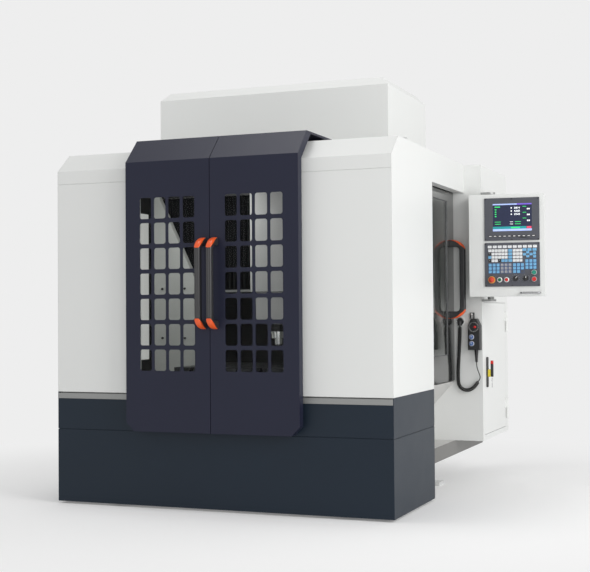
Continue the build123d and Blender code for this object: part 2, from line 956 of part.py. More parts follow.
# Spindle motor: turned body in the clamp with a bearing bore for the nose
spindle_base = spindle_bottom - spindle_cap_height
with BuildPart() as spindle:
    with BuildSketch(at_z(spindle_bottom)):
        with Locations((head_x, spindle_y)):
            Circle(spindle_radius)
    extrude(amount=spindle_top - spindle_bottom)
    with BuildSketch(at_z(spindle_base)):
        with Locations((head_x, spindle_y)):
            Circle(spindle_cap_radius)
    extrude(amount=spindle_cap_height)
    with BuildSketch(at_z(spindle_bottom + spindle_flange_height)):
        with Locations((head_x, spindle_y)):
            Circle(spindle_flange_radius)
    extrude(amount=spindle_flange_height)
    with BuildSketch(at_z(spindle_base)):
        with Locations((head_x, spindle_y)):
            Circle(nose_shaft_radius + shaft_gap)
    extrude(amount=nose_shaft_depth, mode=Mode.SUBTRACT)
save(spindle.part, "spindle_motor")

# Spindle nose: turned shaft and collet nut with a tool bore that opens downward
nose_top = spindle_base - nose_drop
nose_base = nose_top - nose_height
with BuildPart() as nose:
    with BuildSketch(Plane(origin=(head_x, spindle_y, 0), x_dir=(1, 0, 0), z_dir=(0, -1, 0))):
        with BuildLine():
            Polyline(
                (collet_radius, nose_base),
                (nose_radius - nose_taper, nose_base),
                (nose_radius, nose_base + nose_taper),
                (nose_radius, nose_top),
                (nose_shaft_radius, nose_top),
                (nose_shaft_radius, spindle_base + nose_shaft_depth),
                (0, spindle_base + nose_shaft_depth),
                (0, nose_base + collet_depth),
                (collet_radius, nose_base + collet_depth),
                close=True,
            )
        make_face()
    revolve(axis=Axis((head_x, spindle_y, 0), (0, 0, 1)))
save(nose.part, "spindle_nose")

# Bellows of the cross axis: pleated covers from the portal ends to the saddle
bellows_end = bed_half_width - flange_flat
bellows_front_y = front_y + bellows_setback
with BuildPart() as bellows:
    for x_low, x_high in ((-bellows_end, head_x - saddle_half), (head_x + saddle_half, bellows_end)):
        folds = round((x_high - x_low) / bellows_pleat)
        step = (x_high - x_low) / folds
        crest = [(x_low, bellows_front_y + bellows_depth)]
        for n in range(folds):
            crest.append((x_low + n * step, bellows_front_y + bellows_depth - bellows_skin))
            crest.append((x_low + (2 * n + 1) * step / 2, bellows_front_y))
        crest.append((x_high, bellows_front_y + bellows_depth - bellows_skin))
        crest.append((x_high, bellows_front_y + bellows_depth))
        with BuildSketch(at_z(beam_underside + bellows_margin)):
            with BuildLine():
                Polyline(*crest, close=True)
            make_face()
        extrude(amount=beam_top - beam_underside - 2 * bellows_margin)
save(bellows.part, "saddle_bellows")


def ring_plan(inset, depth, lip):
    """Half ring of sheet seen from above: front, two sides and short rear returns."""
    edge = half - inset
    rear = front_y + depth
    front = front_y + inset
    return [
        (lip - edge, rear),
        (-edge, rear),
        (-edge, front),
        (edge, front),
        (edge, rear),
        (edge - lip, rear),
        (edge - lip, rear - sheet),
        (edge - sheet, rear - sheet),
        (edge - sheet, front + sheet),
        (sheet - edge, front + sheet),
        (sheet - edge, rear - sheet),
        (lip - edge, rear - sheet),
    ]


# Lower skirt: folded sheet round front and sides, tied to the bed by two brackets
with BuildPart() as lower_skirt:
    with BuildSketch(at_z(skirt_clearance)):
        with BuildLine():
            Polyline(*ring_plan(0, skirt_depth, skirt_return), close=True)
        make_face()
    extrude(amount=skirt_split_height - skirt_clearance)
    with BuildSketch(at_z(tie_height)):
        for side in (-1, 1):
            with Locations((side * tie_place, middle_of(front_y + sheet, bed_front_y))):
                Rectangle(tie_width, bed_front_y - front_y - sheet)
    extrude(amount=tie_thickness)
save(lower_skirt.part, "lower_skirt")

# Upper skirt: same fold with an inner lap behind the lower skirt, notched for the door track
with BuildPart() as upper_skirt:
    with BuildSketch(at_z(skirt_split_height + seam)):
        with BuildLine():
            Polyline(*ring_plan(0, skirt_depth, skirt_return), close=True)
        make_face()
    extrude(amount=track_top_height - skirt_split_height - seam)
    with BuildSketch(at_z(skirt_split_height - lap)):
        with BuildLine():
            Polyline(*ring_plan(sheet, skirt_depth - sheet, skirt_return - sheet), close=True)
        make_face()
    extrude(amount=2 * lap)
    with BuildSketch(at_z(skirt_top_height)):
        with Locations((0, front_y + track_depth / 2)):
            Rectangle(2 * inner_half, track_depth)
    extrude(amount=track_top_height - skirt_top_height, mode=Mode.SUBTRACT)
save(upper_skirt.part, "upper_skirt")

# Door rails: grooved bar along the front, rail across the roof, rail in the header for the side door
groove_floor = track_top_height - track_groove
roof_rail_y = front_y + roof_rail_setback
side_lip_x = side_face_x - side_door_thickness / 2
side_lip_half = side_rail_sheet / 2
side_rail_top = side_rail_height + side_rail_sheet
with BuildPart() as door_rails:
    with BuildSketch(at_x(-inner_half)):
        with BuildLine():
            Polyline(
                (front_y, skirt_top_height),
                (front_y + track_depth, skirt_top_height),
                (front_y + track_depth, track_top_height),
                (front_y + track_depth - track_lip, track_top_height),
                (front_y + track_depth - track_lip, groove_floor),
                (front_y, groove_floor),
                close=True,
            )
        make_face()
    extrude(amount=2 * inner_half)

    with BuildSketch(at_x(roof_rail_end - inner_half)):
        with Locations((roof_rail_y, roof_height + roof_rail_foot / 2)):
            Rectangle(roof_rail_foot_width, roof_rail_foot)
        with Locations((roof_rail_y, roof_height + roof_rail_rise / 2)):
            Rectangle(roof_rail_web, roof_rail_rise)
    extrude(amount=2 * (inner_half - roof_rail_end))
    with BuildSketch(at_y(front_y + side_rail_front)):
        with BuildLine():
            Polyline(
                (inner_half, side_rail_height),
                (inner_half, side_rail_top),
                (side_lip_x + side_lip_half, side_rail_top),
                (side_lip_x + side_lip_half, side_rail_top + side_rail_lip),
                (side_lip_x - side_lip_half, side_rail_top + side_rail_lip),
                (side_lip_x - side_lip_half, side_rail_height),
                close=True,
            )
        make_face()
    extrude(amount=side_rail_front - cabinet_setback + sheet)
save(door_rails.part, "door_rails")

# White front panels: sheet with a return at the door opening, a foot flange and a lap behind the lip
with BuildPart() as front_panels:
    for side in (-1, 1):
        with BuildSketch(at_z(track_top_height)):
            with Locations((side * middle_of(door_opening_half, inner_half), front_y + sheet / 2)):
                Rectangle(inner_half - door_opening_half, sheet)
            with Locations((side * (door_opening_half + sheet / 2), front_y + panel_return / 2)):
                Rectangle(sheet, panel_return)
        extrude(amount=lip_height - seam - track_top_height)
        with BuildSketch(at_z(track_top_height)):
            with Locations((side * middle_of(door_opening_half, inner_half), front_y + track_depth / 2)):
                Rectangle(inner_half - door_opening_half, track_depth)
        extrude(amount=sheet)
        with BuildSketch(at_z(lip_height - lap)):
            with Locations(
                (side * middle_of(door_opening_half + sheet, inner_half), front_y + 3 * sheet / 2)
            ):
                Rectangle(inner_half - door_opening_half - sheet, sheet)
        extrude(amount=2 * lap)
save(front_panels.part, "front_panels")

# Roof: lip, bevel and flat top in one fold, open above the door gap and under the gantry cover
rear_y = front_y + enclosure_depth
bevel_y = front_y + bevel_run
fold_rise = sheet / 2
gantry_front_y = front_y + gantry_setback
gantry_rear_y = gantry_front_y + gantry_depth
with BuildPart() as roof:
    with BuildSketch(at_x(-inner_half)):
        with BuildLine():
            Polyline(
                (front_y, lip_height),
                (front_y, bevel_height),
                (bevel_y, roof_height),
                (rear_y, roof_height),
                (rear_y, roof_height - roof_rear_flange),
                (rear_y - sheet, roof_height - roof_rear_flange),
                (rear_y - sheet, roof_height - sheet),
                (bevel_y + fold_rise, roof_height - sheet),
                (front_y + sheet, bevel_height - fold_rise),
                (front_y + sheet, lip_height),
                close=True,
            )
        make_face()
    extrude(amount=2 * inner_half)
    with BuildSketch(at_z(lip_height - overrun)):
        with Locations((0, front_y + middle_of(-overrun, roof_gap_depth))):
            Rectangle(2 * door_opening_half, roof_gap_depth + overrun)
        hole_front = gantry_front_y + gantry_front_lap
        hole_rear = gantry_rear_y - gantry_lap
        with Locations((0, middle_of(hole_front, hole_rear))):
            Rectangle(2 * (gantry_half - gantry_lap), hole_rear - hole_front)
        with Locations(
            (middle_of(cabinet_left, half + overrun), middle_of(cabinet_front_y, rear_y + overrun))
        ):
            Rectangle(half + overrun - cabinet_left, rear_y + overrun - cabinet_front_y)
    extrude(amount=roof_height - lip_height + 2 * overrun, mode=Mode.SUBTRACT)
save(roof.part, "roof_cover")

# Right side panel: bevelled sheet with a header over the side opening and returns round the opening
opening_y = front_y + skirt_depth
with BuildPart() as right_panel:
    with BuildSketch(at_x(inner_half)):
        with BuildLine():
            Polyline(
                (front_y, track_top_height),
                (front_y, bevel_height),
                (bevel_y, roof_height),
                (cabinet_front_y, roof_height),
                (cabinet_front_y, lip_height),
                (opening_y, lip_height),
                (opening_y, track_top_height),
                close=True,
            )
        make_face()
    extrude(amount=sheet)
    with BuildSketch(at_z(track_top_height)):
        with Locations((half - side_opening_return / 2, opening_y - sheet / 2)):
            Rectangle(side_opening_return, sheet)
    extrude(amount=lip_height + sheet - track_top_height)
    with BuildSketch(at_z(lip_height)):
        with Locations((half - side_opening_return / 2, middle_of(opening_y, cabinet_front_y))):
            Rectangle(side_opening_return, cabinet_front_y - opening_y)
    extrude(amount=sheet)
save(right_panel.part, "side_panel_right")

# Left side panel: closed sheet that reaches lower behind the skirt
with BuildPart() as left_panel:
    with BuildSketch(at_x(-half)):
        with BuildLine():
            Polyline(
                (front_y, track_top_height),
                (front_y, bevel_height),
                (bevel_y, roof_height),
                (rear_y, roof_height),
                (rear_y, rear_panel_foot),
                (opening_y, rear_panel_foot),
                (opening_y, track_top_height),
                close=True,
            )
        make_face()
    extrude(amount=sheet)
save(left_panel.part, "side_panel_left")

# Rear panel between the left side and the cabinet
with BuildPart() as rear_panel:
    with BuildSketch(at_y(rear_y - sheet)):
        with Locations(
            (middle_of(-inner_half, cabinet_left), middle_of(rear_panel_foot, roof_height - roof_rear_flange))
        ):
            Rectangle(inner_half + cabinet_left, roof_height - roof_rear_flange - rear_panel_foot)
    extrude(amount=-sheet)
save(rear_panel.part, "rear_panel")

# Chute under the side door: slope from the door sill to a sheet on the bed side, with a folded bearer at its
# foot that runs on to the rear below the cabinet
sill_height = track_top_height + sill_rise
with BuildPart() as chute:
    with BuildSketch(at_y(opening_y)):
        with BuildLine():
            Polyline(
                (side_face_x, sill_height),
                (bed_half_width + sheet, chute_low_height),
                (bed_half_width + sheet, chute_low_height - chute_flange),
                (bed_half_width, chute_low_height - chute_flange),
                (bed_half_width, chute_low_height + fold_rise),
                (side_face_x - 3 * fold_rise, sill_height),
                close=True,
            )
        make_face()
    extrude(amount=opening_y - cabinet_front_y)
    with BuildSketch(at_y(opening_y)):
        with Locations((bed_half_width + sheet / 2, middle_of(cabinet_bottom, chute_low_height))):
            Rectangle(sheet, chute_low_height - cabinet_bottom)
    extrude(amount=opening_y - cabinet_front_y)
    with BuildSketch(at_y(opening_y)):
        with BuildLine():
            Polyline(
                (bed_half_width, cabinet_bottom),
                (side_face_x, cabinet_bottom),
                (side_face_x, cabinet_bottom - bearer_drop),
                (side_face_x - sheet, cabinet_bottom - bearer_drop),
                (side_face_x - sheet, cabinet_bottom - sheet),
                (bed_half_width, cabinet_bottom - sheet),
                close=True,
            )
        make_face()
    extrude(amount=opening_y - cabinet_rear_y)
save(chute.part, "side_chute")

# Gantry cover over the roof hole: lid, four walls and four bevel strips mitred at the corners, open below
gantry_middle_y = gantry_front_y + gantry_depth / 2
gantry_wall_top = gantry_top - gantry_bevel
seam_width = sheet * sqrt(2)
gantry_sides = [
    (Vector(1, 0, 0), gantry_half, gantry_depth / 2, sheet),
    (Vector(-1, 0, 0), gantry_half, gantry_depth / 2, sheet),
    (Vector(0, 1, 0), gantry_depth / 2, gantry_half, 0),
    (Vector(0, -1, 0), gantry_depth / 2, gantry_half, 0),
]
with BuildPart() as gantry_lid:
    with BuildSketch(at_z(gantry_top - sheet)):
        with Locations((0, gantry_middle_y)):
            Rectangle(2 * (gantry_half - gantry_bevel), gantry_depth - 2 * gantry_bevel)
    extrude(amount=sheet)
gantry_panels = [gantry_lid.part.solid()]
for outward, reach, span, inset in gantry_sides:
    along = outward.cross(Vector(0, 0, 1))
    section = Plane(origin=(0, gantry_middle_y, 0), x_dir=outward, z_dir=along)
    with BuildPart() as gantry_wall:
        with BuildSketch(section):
            with Locations((reach - sheet / 2, middle_of(roof_height, gantry_wall_top))):
                Rectangle(sheet, gantry_wall_top - roof_height)
        extrude(amount=span - inset, both=True)
    with BuildPart() as gantry_strip:
        with BuildSketch(section):
            with BuildLine():
                Polyline(
                    (reach, gantry_wall_top),
                    (reach - gantry_bevel, gantry_top),
                    (reach - gantry_bevel, gantry_top - seam_width),
                    (reach - seam_width, gantry_wall_top),
                    close=True,
                )
            make_face()
        extrude(amount=span, both=True)
        for end in (-1, 1):
            corner = Vector(0, gantry_middle_y, 0) + outward * reach + along * (end * span)
            split(bisect_by=Plane(origin=corner, z_dir=along * end - outward), keep=Keep.BOTTOM)
    gantry_panels.append(gantry_wall.part.solid())
    gantry_panels.append(gantry_strip.part.solid())
save(Compound(gantry_panels), "gantry_cover")


def handle_bar_part(plane):
    """Arch handle on a plane: sketch X is the way out from the door, sketch Y is up, width on the normal."""
    reach = handle_projection
    tall = handle_length / 2
    inner = reach - handle_bar
    with BuildPart() as handle:
        with BuildSketch(plane):
            with BuildLine():
                Line((0, -tall), (0, tall))
                EllipticalCenterArc(
                    (0, tall - handle_corner), reach, handle_corner, start_angle=0, arc_size=90
                )
                Line((reach, tall - handle_corner), (reach, handle_corner - tall))
                EllipticalCenterArc(
                    (0, handle_corner - tall), reach, handle_corner, start_angle=270, arc_size=90
                )
            make_face()
            gap_height = 2 * (tall - handle_arm)
            with Locations((middle_of(-overrun, inner), 0)):
                RectangleRounded(inner + overrun, gap_height, handle_inner_radius, mode=Mode.SUBTRACT)
            with Locations((overrun / 2, 0)):
                Rectangle(overrun, gap_height, mode=Mode.SUBTRACT)
        extrude(amount=handle_width / 2, both=True)
    return handle.part


# Front doors: folded pan over front, bevel and roof flap, with windows, hangers and guide tongues
door_inner_x = door_meeting_gap / 2
door_width = door_half_width - door_inner_x
door_middle = middle_of(door_inner_x, door_half_width)
flap_height = door_front_top + door_bevel_rise
door_fold = [
    (door_face_y, door_bottom),
    (door_face_y, door_front_top),
    (door_face_y + door_bevel_run, flap_height),
    (front_y + door_flap_end, flap_height),
]


def door_section(depth):
    """The door's side view: its outer fold and the same fold moved inward by the depth."""
    turn_low = depth * door_bevel_run / (door_bevel_rise + (door_bevel_run**2 + door_bevel_rise**2) ** 0.5)
    turn_high = depth * door_bevel_rise / (door_bevel_run + (door_bevel_run**2 + door_bevel_rise**2) ** 0.5)
    lip = min(depth, door_flap_lip)
    inner = [
        (front_y + door_flap_end, flap_height - lip),
        (door_face_y + door_bevel_run + turn_high + depth - lip, flap_height - lip),
        (door_face_y + door_bevel_run + turn_high, flap_height - depth),
        (door_face_y + depth, door_front_top - turn_low),
        (door_face_y + depth, door_bottom),
    ]
    return door_fold + inner


rail_top = roof_height + roof_rail_rise
hanger_low = roof_height + hanger_lift
pane_width = (window_columns - 1) * window_pitch_x + window_width + 2 * pane_margin
pane_height = (window_rows - 1) * window_pitch_z + window_height + 2 * pane_margin
for side, word in ((-1, "left"), (1, "right")):
    edge_low = min(side * door_inner_x, side * door_half_width)
    with BuildPart() as door:
        with BuildSketch(at_x(edge_low)):
            with BuildLine():
                Polyline(*door_section(door_pan_depth), close=True)
            make_face()
        extrude(amount=door_width)
        with BuildSketch(at_y(door_face_y)):
            with BuildLine():
                Polyline(
                    (side * door_half_width, door_bottom),
                    (side * (door_half_width - door_corner), door_bottom),
                    (side * door_half_width, door_bottom + door_corner),
                    close=True,
                )
            make_face()
        extrude(amount=-door_pan_depth, mode=Mode.SUBTRACT)
        # The pan is opened from behind, leaving the sheet and its edge returns
        with BuildSketch(at_x(edge_low + sheet)):
            with BuildLine():
                turn_high, turn_low = door_section(sheet)[6:8]
                Polyline(
                    (door_face_y + sheet, door_bottom + door_corner + sheet),
                    turn_low,
                    turn_high,
                    (front_y + door_flap_end - sheet, flap_height - sheet),
                    (front_y + door_flap_end - sheet, door_bottom + door_corner + sheet),
                    close=True,
                )
            make_face()
        extrude(amount=door_width - 2 * sheet, mode=Mode.SUBTRACT)
        with BuildSketch(at_y(door_face_y + sheet)):
            with BuildLine():
                Polyline(
                    (side * (door_inner_x + sheet), door_bottom + sheet),
                    (side * (door_half_width - door_corner - sheet / 2), door_bottom + sheet),
                    (side * (door_half_width - sheet), door_bottom + door_corner + sheet / 2),
                    (side * (door_half_width - sheet), door_bottom + door_corner + 2 * sheet),
                    (side * (door_inner_x + sheet), door_bottom + door_corner + 2 * sheet),
                    close=True,
                )
            make_face()
        extrude(amount=-door_pan_depth, mode=Mode.SUBTRACT)
        with BuildSketch(at_y(door_face_y)):
            with Locations((side * door_middle, window_centre_height)):
                with GridLocations(window_pitch_x, window_pitch_z, window_columns, window_rows):
                    RectangleRounded(window_width, window_height, window_radius)
        extrude(amount=-sheet, mode=Mode.SUBTRACT)
        for shift in (-hanger_place, hanger_place):
            with BuildSketch(at_x(side * door_middle + shift - hanger_length / 2)):
                with Locations((roof_rail_y, middle_of(hanger_low, flap_height - sheet))):
                    Rectangle(hanger_width, flap_height - sheet - hanger_low)
                with Locations((roof_rail_y, middle_of(hanger_low, rail_top + slide_gap))):
                    Rectangle(
                        roof_rail_web + 2 * slide_gap, rail_top + slide_gap - hanger_low, mode=Mode.SUBTRACT
                    )
            extrude(amount=hanger_length)
        with BuildSketch(at_z(groove_floor + tongue_gap)):
            for shift in (-hanger_place, hanger_place):
                with Locations(
                    (side * door_middle + shift, middle_of(door_face_y + sheet, front_y + tongue_reach))
                ):
                    Rectangle(tongue_length, front_y + tongue_reach - door_face_y - sheet)
        extrude(amount=track_groove - 2 * tongue_gap)
    save(door.part, f"door_{word}")
    with BuildPart() as pane:
        with BuildSketch(at_y(door_face_y + sheet)):
            with Locations((side * door_middle, window_centre_height)):
                Rectangle(pane_width, pane_height)
        extrude(amount=-pane_thickness)
    save(pane.part, f"door_pane_{word}")
    grip_plane = Plane(
        origin=(side * handle_place, door_face_y, handle_height), x_dir=(0, -1, 0), z_dir=(-1, 0, 0)
    )
    save(handle_bar_part(grip_plane), f"door_handle_{word}")

# Side door: framed sheet with a window and two hooks over its rail
side_front_y = opening_y - side_door_front_lap
side_rear_y = cabinet_front_y - side_door_rear_gap
window_front_y = side_front_y + side_front_stile
window_rear_y = side_rear_y - side_rear_stile
hook_top = side_rail_top + side_rail_lip + slide_gap + side_hanger_crown
with BuildPart() as side_door:
    with BuildSketch(at_x(side_inner_x)):
        with Locations((middle_of(side_front_y, side_rear_y), middle_of(side_door_bottom, side_door_top))):
            Rectangle(side_rear_y - side_front_y, side_door_top - side_door_bottom)
        with Locations(
            (middle_of(window_front_y, window_rear_y), middle_of(side_window_bottom, side_window_top))
        ):
            Rectangle(
                window_rear_y - window_front_y, side_window_top - side_window_bottom, mode=Mode.SUBTRACT
            )
    extrude(amount=side_door_thickness)
    for shift in (-side_hanger_place, side_hanger_place):
        hook_y = middle_of(side_front_y, side_rear_y) + shift
        with BuildSketch(at_y(hook_y - side_hanger_length / 2)):
            hook_inner = side_lip_x - side_lip_half - slide_gap
            with Locations((hook_inner - side_hanger_thickness / 2, middle_of(side_door_top, hook_top))):
                Rectangle(side_hanger_thickness, hook_top - side_door_top)
            hook_outer = side_lip_x + side_lip_half + slide_gap + side_hanger_crown
            with Locations((middle_of(hook_inner, hook_outer), hook_top - side_hanger_crown / 2)):
                Rectangle(hook_outer - hook_inner, side_hanger_crown)
            with Locations((hook_outer - side_hanger_crown / 2, hook_top - side_rail_lip / 2)):
                Rectangle(side_hanger_crown, side_rail_lip)
        extrude(amount=-side_hanger_length)
save(side_door.part, "side_door")
with BuildPart() as side_pane:
    with BuildSketch(at_x(side_face_x - side_pane_inset - pane_thickness)):
        with Locations(
            (middle_of(window_front_y, window_rear_y), middle_of(side_window_bottom, side_window_top))
        ):
            Rectangle(window_rear_y - window_front_y, side_window_top - side_window_bottom)
    extrude(amount=pane_thickness)
save(side_pane.part, "side_door_pane")
side_grip = Plane(
    origin=(side_face_x, side_rear_y - side_handle_setback, side_handle_height),
    x_dir=(1, 0, 0),
    z_dir=(0, -1, 0),
)
save(handle_bar_part(side_grip), "side_door_handle")

# Cabinet: closed sheet box with a framed door opening on its right face, hinge pins and a pendant hook
door_front_y = cabinet_front_y + cabinet_door_front
door_rear_y = cabinet_rear_y - cabinet_door_rear
hinge_x = cabinet_right + hinge_out
hinge_y = door_rear_y + cabinet_door_gap
hinge_places = (cabinet_door_bottom + hinge_inset, cabinet_door_top - hinge_inset)
hook_z = pendant_high + pendant_bail_height - pendant_bail_bar - hook_radius
with BuildPart() as cabinet:
    with BuildSketch(at_z(cabinet_bottom)):
        with Locations((middle_of(cabinet_left, cabinet_right), middle_of(cabinet_front_y, cabinet_rear_y))):
            Rectangle(cabinet_right - cabinet_left, cabinet_depth)
    extrude(amount=cabinet_top - cabinet_bottom)
    with BuildSketch(at_z(cabinet_bottom + sheet)):
        with Locations((middle_of(cabinet_left, cabinet_right), middle_of(cabinet_front_y, cabinet_rear_y))):
            Rectangle(cabinet_right - cabinet_left - 2 * sheet, cabinet_depth - 2 * sheet)
    extrude(amount=cabinet_top - cabinet_bottom - 2 * sheet, mode=Mode.SUBTRACT)
    with BuildSketch(at_x(cabinet_right - sheet)):
        with Locations(
            (middle_of(door_front_y, door_rear_y), middle_of(cabinet_door_bottom, cabinet_door_top))
        ):
            Rectangle(
                door_rear_y - door_front_y + 2 * cabinet_door_gap,
                cabinet_door_top - cabinet_door_bottom + 2 * cabinet_door_gap,
            )
    extrude(amount=sheet, mode=Mode.SUBTRACT)
    for hinge_z in hinge_places:
        with BuildSketch(at_z(hinge_z - hinge_length)):
            with Locations((hinge_x, hinge_y)):
                Circle(hinge_pin_radius)
        extrude(amount=2 * hinge_length)
        with BuildSketch(at_z(hinge_z - hinge_length)):
            with Locations((hinge_x, hinge_y)):
                Circle(hinge_barrel_radius)
            with Locations((middle_of(cabinet_right, hinge_x), hinge_y + hinge_leaf / 2)):
                Rectangle(hinge_out, hinge_leaf)
        extrude(amount=hinge_length)
    with BuildSketch(at_y(cabinet_front_y)):
        with Locations((pendant_bail_x, hook_z)):
            Circle(hook_radius)
    extrude(amount=hook_reach)
    with BuildSketch(at_y(cabinet_front_y - hook_reach)):
        with Locations((pendant_bail_x, hook_z + hook_tip / 2 - hook_radius)):
            Rectangle(2 * hook_radius, hook_tip)
    extrude(amount=hook_depth)
save(cabinet.part, "cabinet_shell")

# Cabinet door: pan with folded returns, hinge barrels over the pins and a bore for the lock hub
lock_y = cabinet_front_y + lock_plate_setback
with BuildPart() as cabinet_door:
    with BuildSketch(at_x(cabinet_right - cabinet_door_depth)):
        with Locations(
            (middle_of(door_front_y, door_rear_y), middle_of(cabinet_door_bottom, cabinet_door_top))
        ):
            Rectangle(door_rear_y - door_front_y, cabinet_door_top - cabinet_door_bottom)
    extrude(amount=cabinet_door_depth)
    with BuildSketch(at_x(cabinet_right - cabinet_door_depth)):
        with Locations(
            (middle_of(door_front_y, door_rear_y), middle_of(cabinet_door_bottom, cabinet_door_top))
        ):
            Rectangle(
                door_rear_y - door_front_y - 2 * sheet, cabinet_door_top - cabinet_door_bottom - 2 * sheet
            )
    extrude(amount=cabinet_door_depth - sheet, mode=Mode.SUBTRACT)
    for hinge_z in hinge_places:
        with BuildSketch(at_z(hinge_z + slide_gap)):
            with Locations((hinge_x, hinge_y)):
                Circle(hinge_barrel_radius)
            with Locations((middle_of(cabinet_right, hinge_x), hinge_y - hinge_leaf / 2)):
                Rectangle(hinge_out, hinge_leaf)
            with Locations((hinge_x, hinge_y)):
                Circle(hinge_pin_radius + shaft_gap, mode=Mode.SUBTRACT)
        extrude(amount=hinge_length)
    with BuildSketch(at_x(cabinet_right - sheet)):
        with Locations((lock_y, lock_plate_height)):
            Circle(lock_hub_radius + slide_gap)
    extrude(amount=sheet, mode=Mode.SUBTRACT)
save(cabinet_door.part, "cabinet_door")

# Lock plate on the cabinet door and the lever that turns on it
with BuildPart() as lock_plate:
    with BuildSketch(at_x(cabinet_right)):
        with Locations((lock_y, lock_plate_height)):
            RectangleRounded(lock_plate_width, lock_plate_length, lock_plate_thickness)
            Circle(lock_hub_radius + slide_gap, mode=Mode.SUBTRACT)
    extrude(amount=lock_plate_thickness)
save(lock_plate.part, "lock_plate")
hub_end = cabinet_right + lock_plate_thickness + lock_hub_length
lever_shift = lock_lever_length * (middle_of(0, 1) - lock_head_share)
with BuildPart() as lock_lever:
    with BuildSketch(at_x(cabinet_right - sheet - lock_hub_depth)):
        with Locations((lock_y, lock_plate_height)):
            Circle(lock_hub_radius)
    extrude(amount=hub_end - cabinet_right + sheet + lock_hub_depth)
    with BuildSketch(at_x(hub_end)):
        with Locations((lock_y, lock_plate_height + lever_shift)):
            SlotOverall(lock_lever_length, lock_lever_width, rotation=90)
    extrude(amount=lock_lever_thickness)
save(lock_lever.part, "lock_lever")

# Drive modules on a mounting plate against the left wall of the cabinet
rack_x = cabinet_left + sheet
with BuildPart() as rack:
    with BuildSketch(at_x(rack_x)):
        with Locations(
            (middle_of(door_front_y, door_rear_y), middle_of(cabinet_door_bottom, cabinet_door_top))
        ):
            Rectangle(
                door_rear_y - door_front_y - 2 * rack_margin,
                cabinet_door_top - cabinet_door_bottom - 2 * rack_margin,
            )
    extrude(amount=rack_plate)
    for n in range(drive_count):
        with BuildSketch(at_x(rack_x + rack_plate)):
            with Locations((door_front_y + rack_first + n * drive_pitch, drive_low + drive_height / 2)):
                Rectangle(drive_width, drive_height)
        extrude(amount=drive_depth)
    with BuildSketch(at_x(rack_x + rack_plate)):
        with Locations((door_front_y + rack_first + drive_pitch, inverter_low + inverter_height / 2)):
            Rectangle(inverter_width, inverter_height)
    extrude(amount=inverter_depth)
    with BuildSketch(at_x(rack_x + rack_plate)):
        with Locations((middle_of(door_front_y, door_rear_y), terminal_low + terminal_height / 2)):
            Rectangle(door_rear_y - door_front_y - 4 * rack_margin, terminal_height)
    extrude(amount=terminal_depth)
save(rack.part, "drive_rack")

# Swivel post of the control box between two arms on the cabinet side
with BuildPart() as post:
    with BuildSketch(at_z(post_low)):
        with Locations((swivel_x, swivel_y)):
            Circle(post_radius)
    extrude(amount=post_high - post_low)
    for arm_low in (post_low, post_high - post_arm):
        with BuildSketch(at_z(arm_low)):
            with Locations((swivel_x, swivel_y)):
                Circle(post_arm_half)
            with Locations((middle_of(cabinet_right, swivel_x), swivel_y)):
                Rectangle(swivel_x - cabinet_right, 2 * post_arm_half)
            with Locations((cabinet_right - overrun, swivel_y)):
                Rectangle(2 * overrun, 4 * post_arm_half, mode=Mode.SUBTRACT)
        extrude(amount=post_arm)
save(post.part, "swivel_post")

# Control box: housing on two lugs round the post, bored for the push buttons and switches
unit_left = box_width - box_left - unit_right_margin - unit_width
display_high = box_high - display_top_margin
display_low = display_high - display_height
keypad_high = display_low - keypad_gap
keypad_low = keypad_high - keypad_height
box_face = box_back + box_depth
round_controls = [
    (estop_x, estop_y),
    (start_x, button_y),
    (stop_x, button_y),
    (power_x, power_on_y),
    (power_x, power_off_y),
    (knob_feed_x, knob_y),
    (knob_spindle_x, knob_y),
]
control_points = [(unit_left + u, keypad_low + v) for u, v in round_controls]
with BuildPart() as control_box:
    with BuildSketch(panel_plane(box_back)):
        with Locations((box_width / 2 - box_left, middle_of(box_low, box_high))):
            RectangleRounded(box_width, box_high - box_low, box_corner)
    extrude(amount=box_depth)
    for lug_low in (box_low + lug_inset, box_high - lug_inset - lug_height):
        with BuildSketch(at_z(lug_low)):
            with Locations(Location((swivel_x, swivel_y), panel_turn)):
                Circle(lug_radius)
                with Locations((0, -box_back / 2)):
                    Rectangle(2 * lug_half, box_back)
                Circle(post_radius + shaft_gap, mode=Mode.SUBTRACT)
        extrude(amount=lug_height)
    with BuildSketch(panel_plane(box_back + sheet)):
        with Locations((box_width / 2 - box_left, middle_of(box_low, box_high))):
            Rectangle(box_width - 2 * sheet, box_high - box_low - 2 * sheet)
    extrude(amount=box_depth - 2 * sheet, mode=Mode.SUBTRACT)
    with BuildSketch(panel_plane(box_face)):
        with Locations(*control_points):
            Circle(button_bore)
    extrude(amount=-sheet, mode=Mode.SUBTRACT)
save(control_box.part, "control_box")

# Display unit: bezel with a recess for the screen and a row of soft keys
with BuildPart() as display:
    with BuildSketch(panel_plane(box_face)):
        with Locations((unit_left + unit_width / 2, middle_of(display_low, display_high))):
            RectangleRounded(unit_width, display_height, unit_edge)
    extrude(amount=unit_thickness)
    screen_middle_x = unit_left + screen_left + screen_width / 2
    screen_middle_z = display_high - screen_top - screen_height / 2
    with BuildSketch(panel_plane(box_face + unit_thickness)):
        with Locations((screen_middle_x, screen_middle_z)):
            Rectangle(screen_width, screen_height)
    extrude(amount=-screen_recess, mode=Mode.SUBTRACT)
    with BuildSketch(panel_plane(box_face + unit_thickness)):
        with Locations((unit_left + unit_width / 2, display_low + soft_key_low)):
            with GridLocations(soft_key_pitch, 0, soft_key_count, 1):
                Rectangle(key_width, key_height)
    extrude(amount=key_rise)
save(display.part, "display_unit")
with BuildPart() as screen:
    with BuildSketch(panel_plane(box_face + unit_thickness - screen_recess)):
        with Locations((screen_middle_x, screen_middle_z)):
            Rectangle(screen_width, screen_height)
    extrude(amount=screen_glass)
save(screen.part, "display_screen")


